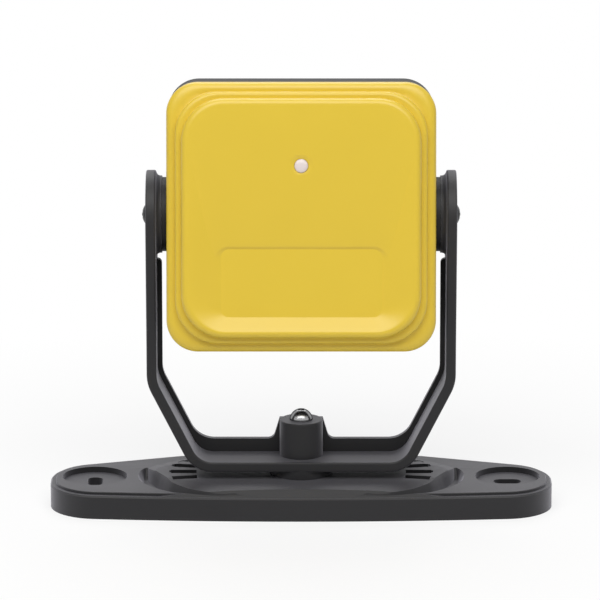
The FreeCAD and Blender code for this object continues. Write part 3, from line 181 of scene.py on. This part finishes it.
metal("plain_steel", (0.50, 0.50, 0.51), (0.60, 0.60, 0.61), 0.30)
metal("insert_brass", (0.60, 0.42, 0.18), (0.70, 0.50, 0.22), 0.30)
metal("plug_metal", (0.56, 0.54, 0.50), (0.66, 0.64, 0.59), 0.24)
metal("contact_gold", (0.80, 0.58, 0.22), (0.88, 0.66, 0.28), 0.18)

for node in nodes.values():
    slot_name = node.material_slots[0].material.name.split(".")[0]
    node.data.materials[0] = FINISHES[slot_name]


# Pieces drawn here, in millimetres

# Those of the head are drawn in the frame of the untilted head: across, ahead of the tilt axis and up
# from it. The foot is drawn in the frame of the whole object.
MILLIMETRE = 0.001
TILT = math.radians(10.0)
AXIS_HEIGHT = 97.6
HEAD_HALF = 43.6
TURN_POINTS, ROD_POINTS = 96, 64
MERGE_REACH = 0.001


def from_head(across, ahead, up):
    """Points of the head, in metres, from where they lie in its own frame."""
    y = up * math.sin(TILT) - ahead * math.cos(TILT)
    z = AXIS_HEIGHT + up * math.cos(TILT) + ahead * math.sin(TILT)
    return np.stack(np.broadcast_arrays(across, y, z), axis=-1) * MILLIMETRE


def new_mesh(name, points, *face_sets):
    """Mesh from an array of points and arrays of faces, which have a row of point numbers for each face."""
    mesh = bpy.data.meshes.new(name)
    corners = np.concatenate([faces.ravel() for faces in face_sets])
    counts = np.concatenate([np.full(len(faces), faces.shape[1]) for faces in face_sets])
    mesh.vertices.add(len(points))
    mesh.vertices.foreach_set("co", points.astype(np.float32).ravel())
    mesh.loops.add(len(corners))
    mesh.loops.foreach_set("vertex_index", corners.astype(np.int32))
    mesh.polygons.add(len(counts))
    mesh.polygons.foreach_set("loop_start", (np.cumsum(counts) - counts).astype(np.int32))
    mesh.update(calc_edges=True)
    mesh.validate()
    return mesh


def new_piece(name, mesh, slot_name, node, body="head", crease=25.0):
    """Piece in the place of a CAD node, smooth but for its creases, that moves with a body."""
    mesh.shade_smooth()
    mesh.set_sharp_from_angle(angle=math.radians(crease))
    mesh.materials.clear()
    mesh.materials.append(FINISHES[slot_name])
    piece = bpy.data.objects.new(name, mesh)
    scene.collection.objects.link(piece)
    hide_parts(node)
    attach(piece, body)


def ring_faces(rings, count, joined=False):
    """Four-cornered faces from each closed ring of points to the next, and back to the first if joined."""
    ring, place = np.meshgrid(np.arange(rings if joined else rings - 1), np.arange(count), indexing="ij")
    after = (place + 1) % count
    low, high = ring * count, (ring + 1) % rings * count
    return np.stack([low + place, low + after, high + after, high + place], axis=-1).reshape(-1, 4)


def capped(points):
    """Points and faces of a skin of rings, closed at both ends by a fan about the middle of the ring."""
    rings, count = points.shape[:2]
    poles = points[[0, -1]].mean(axis=1)
    place = np.arange(count)
    after = (place + 1) % count
    last = (rings - 1) * count
    first_fan = np.stack([after, place, np.full(count, rings * count)], axis=1)
    last_fan = np.stack([last + place, last + after, np.full(count, rings * count + 1)], axis=1)
    joined = np.concatenate([points.reshape(-1, 3), poles])
    return joined, ring_faces(rings, count), np.concatenate([first_fan, last_fan])


def arc(across, along, size, start, end, count):
    """Points on a circle about a centre, between two angles in degrees."""
    angle = np.radians(np.linspace(start, end, count))
    return np.stack([across + size * np.cos(angle), along + size * np.sin(angle)], axis=1)


def turned(profile, across, up, facing=1, seat=0.0, thread=None, count=TURN_POINTS):
    """Rings of a turned piece of the head: rows of radius and height, each carried round an axis.

    Facing 1 has the axis ahead and -1 behind, and heights count from the seat. A thread takes its depth
    away from the radius by a wave of height over pitch less share of a turn.
    """
    radius, height = profile[:, 0][:, None], profile[:, 1][:, None]
    share = np.arange(count)[None] / count
    if thread is not None:
        depth, pitch = thread
        radius = radius - depth[:, None] * (0.5 - 0.5 * np.cos(2 * math.pi * (height / pitch - share)))
    angle = 2 * math.pi * share
    return from_head(across + radius * np.cos(angle), seat + facing * height,
                     up + facing * radius * np.sin(angle))


def mended(mesh):
    """Mesh with its loose faces joined and turned outwards."""
    form = bmesh.new()
    form.from_mesh(mesh)
    bmesh.ops.remove_doubles(form, verts=form.verts, dist=MERGE_REACH * MILLIMETRE)
    bmesh.ops.recalc_face_normals(form, faces=form.faces)
    form.to_mesh(mesh)
    form.free()
    return mesh


def carved(mesh, tool, operation):
    """Mesh after a Boolean with a tool."""
    blank = bpy.data.objects.new("blank", mesh)
    cutter = bpy.data.objects.new("cutter", tool)
    for thing in (blank, cutter):
        scene.collection.objects.link(thing)
    step = blank.modifiers.new("cut", "BOOLEAN")
    step.operation = operation
    step.solver = "EXACT"
    step.object = cutter
    done = bpy.data.meshes.new_from_object(blank.evaluated_get(bpy.context.evaluated_depsgraph_get()))
    for thing in (blank, cutter):
        bpy.data.objects.remove(thing)
    return done


def rods(name, places):
    """Mesh of plain rods along the head, each given as across, up, radius, rear end and front end."""
    skins = [capped(turned(np.array([[radius, rear], [radius, front]]), across, up, count=ROD_POINTS))
             for across, up, radius, rear, front in places]
    starts = np.cumsum([0] + [len(skin[0]) for skin in skins[:-1]])
    points = np.concatenate([skin[0] for skin in skins])
    sides = np.concatenate([skin[1] + start for skin, start in zip(skins, starts)])
    fans = np.concatenate([skin[2] + start for skin, start in zip(skins, starts)])
    return new_mesh(name, points, sides, fans)


# Radome

CORNER_POINTS, SIDE_POINTS = 22, 26
JOINT = 12.5
FLANGE_FACE, FLANGE_EDGE, FLANGE_POINTS = 17.7, 2.2, 12
STEP_ONE_INSET, STEP_ONE_FACE, STEP_ONE_EDGE, STEP_ONE_POINTS = 2.9, 20.6, 1.1, 10
STEP_TWO_INSET, RIM_FACE, STEP_TWO_EDGE, STEP_TWO_POINTS = 4.9, 24.0, 1.9, 14
SHOULDER_FOOT = 0.12
HEAD_ROUND, FLANGE_ROUND, STEP_ROUND, RIM_ROUND, WINDOW_ROUND = 10.2, 12.2, 14.0, 12.6, 2.6
RIM_HALF = HEAD_HALF - STEP_TWO_INSET - STEP_TWO_EDGE
WINDOW_HALF, WINDOW_TOP, WINDOW_FOOT = 26.0, -10.0, -32.0
WINDOW_SHARES = np.array([0.985, 0.66, 0.33, 0.02])
DISH_DEPTH, DISH_BEND, RIM_SOFTNESS, DISH_ROWS, FACE_SAMPLES = 2.6, 1.2, 0.10, 80, 800
CREASE_SHARE, CREASE_WIDTH = 0.16, 0.8
COVER_WALL, ROOF, SHELF = 3.0, 19.6, 15.7
ROOF_SHARES, ROOF_ROUNDS = (0.02, 0.5), (0.2, 5.0)
BOSS_PLACE, BOSS_RADIUS, PILOT_RADIUS, PILOT_END = 36.2, 5.0, 1.55, 15.95
LIGHT_UP, LIGHT_RADIUS, LIGHT_HOLE = 17.0, 2.2, 2.27
DIMPLE_RADIUS, DIMPLE_DEPTH, DIMPLE_CLEAR = 3.2, 0.32, 0.5
GAP, OVERLAP = 0.05, 1.0


def rounded_rings(half, low, high, radius):
    """Rows of points round rectangles with round corners, one row for each set of sizes.

    Each corner is a quarter circle about its own centre, and the sides are the straight lines
    between the ends of neighbouring corners.
    """
    half, low, high, radius = [size[:, None] for size in (half, low, high, radius)]
    turn = np.linspace(0, math.pi / 2, CORNER_POINTS)[None]
    quarters = [(1, low, 1), (1, high, -1), (-1, high, -1), (-1, low, 1)]
    corners = []
    for number, (side, edge, inward) in enumerate(quarters):
        angle = turn + (number - 1) * math.pi / 2
        corners.append([side * (half - radius) + radius * np.cos(angle),
                        edge + inward * radius + radius * np.sin(angle)])
    share = np.linspace(0, 1, SIDE_POINTS + 2)[None, 1:-1]
    rows = []
    for axis in range(2):
        stretches = []
        for here, after in zip(corners, corners[1:] + corners[:1]):
            end, start = here[axis][:, -1:], after[axis][:, :1]
            stretches += [here[axis], end + (start - end) * share]
        rows.append(np.concatenate(stretches, axis=1))
    return rows


def dish_depth(share):
    """Depth at a share of the way from rim to window: straight, with a soft start at the rim."""
    soft = RIM_SOFTNESS
    return DISH_DEPTH * (np.sqrt(share ** 2 + soft ** 2) - soft) / (math.sqrt(1 + soft ** 2) - soft)


def dish_top(share):
    """Height of the dish's upper contour: a power of the way left, and then a short steep crease."""
    left = 1 - share
    slope = np.clip((left - CREASE_SHARE) / (1 - CREASE_SHARE), 0, 1) ** DISH_BEND
    crease = np.clip(left / CREASE_SHARE, 0, 1)
    return WINDOW_TOP + CREASE_WIDTH * crease + (RIM_HALF - WINDOW_TOP - CREASE_WIDTH) * slope


def face_at(up):
    """How far ahead the dish lies on its middle line at a height above the window."""
    share = np.linspace(0, 1, FACE_SAMPLES)
    return RIM_FACE - np.interp(-up, -dish_top(share), dish_depth(share))


def stepped_edge():
    """Inset and height ahead of the rings from the joint to the rim: rounded shoulders with tight feet."""
    return np.concatenate([
        [[0.0, JOINT]],
        arc(FLANGE_EDGE, FLANGE_FACE - FLANGE_EDGE, FLANGE_EDGE, 180, 90, FLANGE_POINTS),
        [[STEP_ONE_INSET - SHOULDER_FOOT, FLANGE_FACE], [STEP_ONE_INSET, FLANGE_FACE + SHOULDER_FOOT]],
        arc(STEP_ONE_INSET + STEP_ONE_EDGE, STEP_ONE_FACE - STEP_ONE_EDGE, STEP_ONE_EDGE, 180, 90,
            STEP_ONE_POINTS),
        [[STEP_TWO_INSET - SHOULDER_FOOT, STEP_ONE_FACE], [STEP_TWO_INSET, STEP_ONE_FACE + SHOULDER_FOOT]],
        arc(STEP_TWO_INSET + STEP_TWO_EDGE, RIM_FACE - STEP_TWO_EDGE, STEP_TWO_EDGE, 180, 90,
            STEP_TWO_POINTS)])


def radome_skin():
    """Yellow cover as one closed skin of rounded rings.

    From the roof of its stepped hollow the rings run back to the joint, up the flange, over two rounded
    steps to the rim, and down the dish, whose contours shrink from the rim to the flat window. The lower
    and side contours move in evenly with depth, and the upper one by a power of what is left.
    """
    narrow, wide = HEAD_HALF - STEP_TWO_INSET - COVER_WALL, HEAD_HALF - COVER_WALL
    inner = np.array([*(narrow * share for share in ROOF_SHARES), narrow, narrow, wide, wide])
    inner_round = np.array([*ROOF_ROUNDS, STEP_ROUND - COVER_WALL, STEP_ROUND - COVER_WALL,
                            HEAD_ROUND - COVER_WALL, HEAD_ROUND - COVER_WALL])
    inset, ahead = stepped_edge().T
    edge = HEAD_HALF - inset
    edge_round = np.interp(inset, [0, FLANGE_EDGE, STEP_ONE_INSET, STEP_TWO_INSET, HEAD_HALF - RIM_HALF],
                           [HEAD_ROUND, FLANGE_ROUND, STEP_ROUND, STEP_ROUND, RIM_ROUND])
    share = np.linspace(0, 1, DISH_ROWS)[1:]
    dish_half = RIM_HALF + (WINDOW_HALF - RIM_HALF) * share
    dish_low = -RIM_HALF + (WINDOW_FOOT + RIM_HALF) * share
    dish_round = RIM_ROUND + (WINDOW_ROUND - RIM_ROUND) * share
    middle, tall = (WINDOW_TOP + WINDOW_FOOT) / 2, (WINDOW_TOP - WINDOW_FOOT) / 2
    across, up = rounded_rings(
        np.concatenate([inner, edge, dish_half, WINDOW_HALF * WINDOW_SHARES]),
        np.concatenate([-inner, -edge, dish_low, middle - tall * WINDOW_SHARES]),
        np.concatenate([inner, edge, dish_top(share), middle + tall * WINDOW_SHARES]),
        np.concatenate([inner_round, edge_round, dish_round, WINDOW_ROUND * WINDOW_SHARES]))
    depth = np.concatenate([[ROOF, ROOF, ROOF, SHELF, SHELF, JOINT], ahead, RIM_FACE - dish_depth(share),
                            np.full(len(WINDOW_SHARES), RIM_FACE - DISH_DEPTH)])
    return new_mesh("radome", *capped(from_head(across, depth[:, None], up)))


def make_radome():
    """Yellow cover with four screw bosses inside and a hole with a dimple for the status light."""
    places = [(across * BOSS_PLACE, up * BOSS_PLACE) for across in (1, -1) for up in (1, -1)]
    bosses = rods("bosses", [(*place, BOSS_RADIUS, JOINT + GAP, SHELF + OVERLAP) for place in places])
    pilots = rods("pilots", [(*place, PILOT_RADIUS, JOINT - OVERLAP, PILOT_END) for place in places])
    face = face_at(LIGHT_UP)
    flare = (DIMPLE_RADIUS - LIGHT_HOLE) / DIMPLE_DEPTH
    hole = np.array([[LIGHT_HOLE, ROOF - OVERLAP], [LIGHT_HOLE, face - DIMPLE_DEPTH],
                     [DIMPLE_RADIUS + flare * DIMPLE_CLEAR, face + DIMPLE_CLEAR]])
    light_hole = new_mesh("light_hole", *capped(turned(hole, 0.0, LIGHT_UP)))
    skin = carved(radome_skin(), bosses, "UNION")
    skin = carved(skin, pilots, "DIFFERENCE")
    skin = carved(skin, light_hole, "DIFFERENCE")
    new_piece("radome", skin, "yellow_plastic", "front_cover")


# Status light

LENS_FLANGE, LENS_FLANGE_DEPTH, LENS_EDGE, LENS_AXIS = 1.2, 1.0, 0.25, 0.05
LENS_SINK, LENS_RISE, LENS_END, LENS_POINTS = 0.15, 0.8, 88, 16


def rear_end(node):
    """How far ahead of the tilt axis a CAD node of the head begins, in millimetres."""
    points = np.empty(len(nodes[node].data.vertices) * 3)
    nodes[node].data.vertices.foreach_get("co", points)
    y, z = points.reshape(-1, 3).T[1:] / MILLIMETRE
    return ((z - AXIS_HEIGHT) * math.sin(TILT) - y * math.cos(TILT)).min()


def make_lens():
    """Status light: turned pipe with a flange behind the radome and an elliptic dome as its front end."""
    rear = rear_end("status_light_pipe")
    flange = ROOF - GAP
    wide = LIGHT_RADIUS + LENS_FLANGE
    dome = arc(0, 0, 1.0, 0, LENS_END, LENS_POINTS) * (LIGHT_RADIUS, LENS_RISE)
    dome = dome + (0, face_at(LIGHT_UP) - LENS_SINK)
    profile = np.concatenate([
        [[LENS_AXIS, rear], [LIGHT_RADIUS - LENS_EDGE, rear], [LIGHT_RADIUS, rear + LENS_EDGE],
         [LIGHT_RADIUS, flange - LENS_FLANGE_DEPTH], [wide - LENS_EDGE, flange - LENS_FLANGE_DEPTH],
         [wide, flange - LENS_FLANGE_DEPTH + LENS_EDGE], [wide, flange], [LIGHT_RADIUS, flange]], dome])
    mesh = new_mesh("status_lens", *capped(turned(profile, 0.0, LIGHT_UP)))
    new_piece("status_lens", mesh, "white_lens", "status_light_pipe")


# Connectors

PLUG_ACROSS, PLUG_UP, PLUG_SEAT = 17.0, -19.0, -19.5
PLUG_REAR, PLUG_GASKET, PLUG_FLANGE, PLUG_MOUTH, PLUG_FLOOR = -4.3, 0.8, 2.8, 12.3, 3.8
NECK_RADIUS, FLANGE_RADIUS, THREAD_RADIUS = 7.0, 9.0, 6.0
MALE_BORE, FEMALE_OUTER, FEMALE_BORE = 4.65, 8.2, 4.15
PITCH, THREAD_DEPTH, THREAD_ROWS, PLUG_EDGE, PLUG_CREASE = 1.0, 0.5, 12, 0.3, 40.0


def thread_rows(start, end):
    """Rows of a thread between two heights: radius, height and depth, which fades out over one pitch."""
    height = np.linspace(start, end, 1 + int(abs(end - start) / PITCH * THREAD_ROWS))
    depth = THREAD_DEPTH * np.clip(np.minimum(abs(height - start), abs(end - height)) / PITCH, 0, 1)
    return np.stack([np.full(len(height), THREAD_RADIUS), height, depth], axis=1)


def make_shell(name, side, rows, node):
    """Connector shell: a closed profile carried round its axis, with its thread as a wave of the radius."""
    rings = turned(rows[:, :2], side * PLUG_ACROSS, PLUG_UP, -1, PLUG_SEAT, (rows[:, 2], PITCH))
    mesh = new_mesh(name, rings.reshape(-1, 3), ring_faces(*rings.shape[:2], joined=True))
    new_piece(name, mesh, "plug_metal", node, crease=PLUG_CREASE)


def make_connectors():
    """Inlet with an outside thread and outlet with an inside thread, each with a bevelled flange."""
    edge = PLUG_EDGE
    flange = [[NECK_RADIUS, PLUG_REAR, 0], [NECK_RADIUS, PLUG_GASKET, 0],
              [FLANGE_RADIUS - edge, PLUG_GASKET, 0], [FLANGE_RADIUS, PLUG_GASKET + edge, 0],
              [FLANGE_RADIUS, PLUG_FLANGE - edge, 0], [FLANGE_RADIUS - edge, PLUG_FLANGE, 0]]
    male = np.concatenate([[[MALE_BORE, PLUG_REAR, 0]], flange, thread_rows(PLUG_FLANGE, PLUG_MOUTH - edge),
                           [[THREAD_RADIUS - edge, PLUG_MOUTH, 0], [MALE_BORE, PLUG_MOUTH, 0]]])
    make_shell("threaded_inlet", -1, male, "male_connector_shell")
    female = np.concatenate([[[FEMALE_BORE, PLUG_REAR, 0]], flange,
                             [[FEMALE_OUTER, PLUG_FLANGE, 0], [FEMALE_OUTER, PLUG_MOUTH - edge, 0],
                              [FEMALE_OUTER - edge, PLUG_MOUTH, 0], [THREAD_RADIUS + edge, PLUG_MOUTH, 0]],
                             thread_rows(PLUG_MOUTH - edge, PLUG_FLOOR), [[FEMALE_BORE, PLUG_FLOOR, 0]]])
    make_shell("threaded_outlet", 1, female, "female_connector_shell")


# Foot

# Stations of the left hollow: angle in degrees from the left to the front, reach of its inner and its
# outer edge from the pan axis, depth, and height of the inner edge. A depth of less than 0 is no cut.
HOLLOW = np.array([[-10.5, 51.4, 52.6, -0.25, 9.0], [-7.5, 50.5, 53.6, 3.6, 9.3],
                   [-2.0, 48.3, 54.4, 4.3, 10.0], [4.0, 45.7, 54.2, 4.4, 10.2],
                   [8.0, 44.6, 53.4, 4.3, 10.2], [15.0, 43.2, 51.2, 3.7, 10.0],
                   [25.0, 40.0, 46.4, 2.3, 9.6], [35.4, 35.9, 37.6, 0.9, 9.5],
                   [44.3, 30.1, 31.6, 0.7, 9.5], [57.2, 25.5, 26.2, -0.25, 9.4]])
HOLLOW_LIP, HOLLOW_WALL, HOLLOW_RISE = 0.25, 0.26, 0.55
HOLLOW_RINGS, HOLLOW_STEPS, HOLLOW_FLOW, FLOW_SAMPLES = 130, 26, 1.2, 17
DECK_HEIGHT, CLEAR_HEIGHT = 8.7, 13.0
NOTCH_ANGLES = (-10.0, 0.0, 10.0, 20.0, 30.0)
NOTCH_INNER, NOTCH_OUTER, NOTCH_HALF, NOTCH_FLOOR = 34.5, 43.0, 1.9, 9.1


def eased(share):
    """Smooth step from 0 to 1: three times the square less twice the cube."""
    share = np.clip(share, 0, 1)
    return share * share * (3 - 2 * share)


def flowing(angle, row):
    """Values between those of the stations: straight runs, with the mean over a few degrees taken."""
    around = np.linspace(-HOLLOW_FLOW, HOLLOW_FLOW, FLOW_SAMPLES)
    return np.interp(angle[..., None] + around, HOLLOW[:, 0], row).mean(axis=-1)


def hollow_rings():
    """Rings of the body cut out at the left tip of the oval: a trough along an arc about the pan axis.

    Across the arc its floor falls steeply from the inner edge and eases back up to the deck, and along
    the arc its width and depth run through the stations.
    """
    angle = np.linspace(HOLLOW[0, 0], HOLLOW[-1, 0], HOLLOW_RINGS)[:, None]
    inner, outer, depth, height = [flowing(angle, row) for row in HOLLOW.T[1:]]
    share = np.linspace(0, 1, HOLLOW_STEPS)[None]
    dip = eased(share / HOLLOW_WALL) * (1 - eased((share - HOLLOW_RISE) / (1 - HOLLOW_RISE)))
    floor = height + (DECK_HEIGHT - height) * share + HOLLOW_LIP - (depth + HOLLOW_LIP) * dip
    reach = np.concatenate([inner + (outer - inner) * share, outer, inner], axis=1)
    level = np.concatenate([floor, np.full((HOLLOW_RINGS, 2), CLEAR_HEIGHT)], axis=1)
    turn = np.radians(angle)
    return np.stack([-reach * np.cos(turn), -reach * np.sin(turn), level], axis=-1) * MILLIMETRE


def notch_rings():
    """Rings of square rods that cut the pan notches of the left side, each along its own radius."""
    turn = np.radians(NOTCH_ANGLES)[:, None, None]
    reach = np.array([NOTCH_INNER, NOTCH_OUTER])[None, :, None]
    aside = NOTCH_HALF * np.array([-1, 1, 1, -1])[None, None]
    level = np.array([NOTCH_FLOOR, NOTCH_FLOOR, CLEAR_HEIGHT, CLEAR_HEIGHT])
    x = -reach * np.cos(turn) + aside * np.sin(turn)
    y = reach * np.sin(turn) + aside * np.cos(turn)
    return np.stack(np.broadcast_arrays(x, y, level), axis=-1) * MILLIMETRE


def make_foot():
    """Base of the bracket: the CAD solid, with a hollow at each tip of its oval and open notches."""
    solid = mended(nodes["base_plate"].data.copy())
    if "custom_normal" in solid.attributes:
        solid.attributes.remove(solid.attributes["custom_normal"])
    for rings in [hollow_rings(), *notch_rings()]:
        points, sides, fans = capped(rings)
        for side in (1, -1):
            # On the right side the tool is mirrored, so its faces are turned round.
            tool = mended(new_mesh("tool", points * (side, 1, 1), sides[:, ::side], fans[:, ::side]))
            solid = carved(solid, tool, "DIFFERENCE")
    new_piece("foot", solid, "dark_plastic", "base_plate", "base")


make_radome()
make_lens()
make_connectors()
make_foot()


# Stage

FLOOR_REACH = 6.0
FLOOR_WHITE = 0.75
FLOOR_COLOUR = (0.88, 0.88, 0.88)
SHADE_REACH, SHADE_FADE = 0.11, 0.12
WORLD_FILL, WORLD_SEEN = 0.03, 1.0
LAMP_AIM = Vector((0.0, 0.0, 0.09))
LAMP_DISTANCE = 1.4


def lay_floor():
    """Level square under the object.

    Straight looks and mirrored ones see it paler than it is lit, and white beyond the reach of its shadows.
    """
    reach = FLOOR_REACH
    mesh = bpy.data.meshes.new("floor")
    mesh.from_pydata([(-reach, -reach, 0), (reach, -reach, 0), (reach, reach, 0), (-reach, reach, 0)],
                     [], [(0, 1, 2, 3)])
    floor = bpy.data.objects.new("floor", mesh)
    scene.collection.objects.link(floor)
    finish = Finish("floor_paper", Base_Color=(*FLOOR_COLOUR, 1), Roughness=0.9, Specular_IOR_Level=0.0)
    white = finish.node("ShaderNodeEmission", None, {"Color": (1, 1, 1, 1), "Strength": 1.0})
    lit = Value(finish, finish.shader.outputs[0])
    away = finish.node("ShaderNodeVectorMath", {"operation": "LENGTH"}, {0: finish.place}, output="Value")
    faded = finish.node("ShaderNodeClamp", None, {0: (away - SHADE_REACH) * (1 / SHADE_FADE)})
    whiteness = FLOOR_WHITE + (1 - FLOOR_WHITE) * faded
    mixed = finish.node("ShaderNodeMixShader", None, {0: whiteness * finish.seen(), 1: lit, 2: white})
    finish.tree.links.new(mixed.socket, finish.tree.nodes["Material Output"].inputs["Surface"])
    mesh.materials.append(finish.material)


def light_world():
    """White all round: seen straight or in a mirror it is the backdrop, otherwise a soft fill."""
    world = bpy.data.worlds.new("studio")
    world.use_nodes = True
    scene.world = world
    graph = Graph(world.node_tree)
    strength = WORLD_FILL + (WORLD_SEEN - WORLD_FILL) * graph.seen()
    backing = graph.tree.nodes["Background"]
    graph.tree.links.new(strength.socket, backing.inputs["Strength"])
    backing.inputs["Color"].default_value = (1, 1, 1, 1)


def softbox(name, azimuth, rise, size, power):
    """Oblong area lamp that faces the object's middle.

    Its azimuth counts from the front to the right and its rise from the horizon, both in degrees.
    """
    turn, lift = math.radians(azimuth), math.radians(rise)
    towards = Vector((math.sin(turn) * math.cos(lift), -math.cos(turn) * math.cos(lift), math.sin(lift)))
    lamp = bpy.data.lights.new(name, "AREA")
    lamp.shape = "RECTANGLE"
    lamp.size, lamp.size_y = size
    lamp.energy = power
    stand = bpy.data.objects.new(name, lamp)
    stand.location = LAMP_AIM + towards * LAMP_DISTANCE
    stand.rotation_euler = towards.to_track_quat("Z", "Y").to_euler()
    scene.collection.objects.link(stand)


lay_floor()
light_world()
softbox("front_softbox", azimuth=-4.0, rise=54.0, size=(2.0, 1.1), power=25.0)
softbox("back_softbox", azimuth=180.0, rise=55.0, size=(1.1, 1.1), power=10.0)


# Camera

CAMERA_RISE = math.radians(14.6)
CAMERA_DISTANCE = 1.79
CAMERA_LENS, CAMERA_SENSOR, CAMERA_END = 328.2, 36.0, 20.0
CAMERA_AIM = Vector((-0.0004, 0.0, 0.06865))


def set_camera():
    """Long lens in front of the object, looking slightly down on it."""
    camera = bpy.data.cameras.new("camera")
    camera.lens = CAMERA_LENS
    camera.sensor_width = CAMERA_SENSOR
    camera.clip_end = CAMERA_END
    stand = bpy.data.objects.new("camera", camera)
    back = Vector((0.0, -math.cos(CAMERA_RISE), math.sin(CAMERA_RISE)))
    stand.location = CAMERA_AIM + back * CAMERA_DISTANCE
    stand.rotation_euler = (-back).to_track_quat("-Z", "Y").to_euler()
    scene.collection.objects.link(stand)
    scene.camera = stand


set_camera()
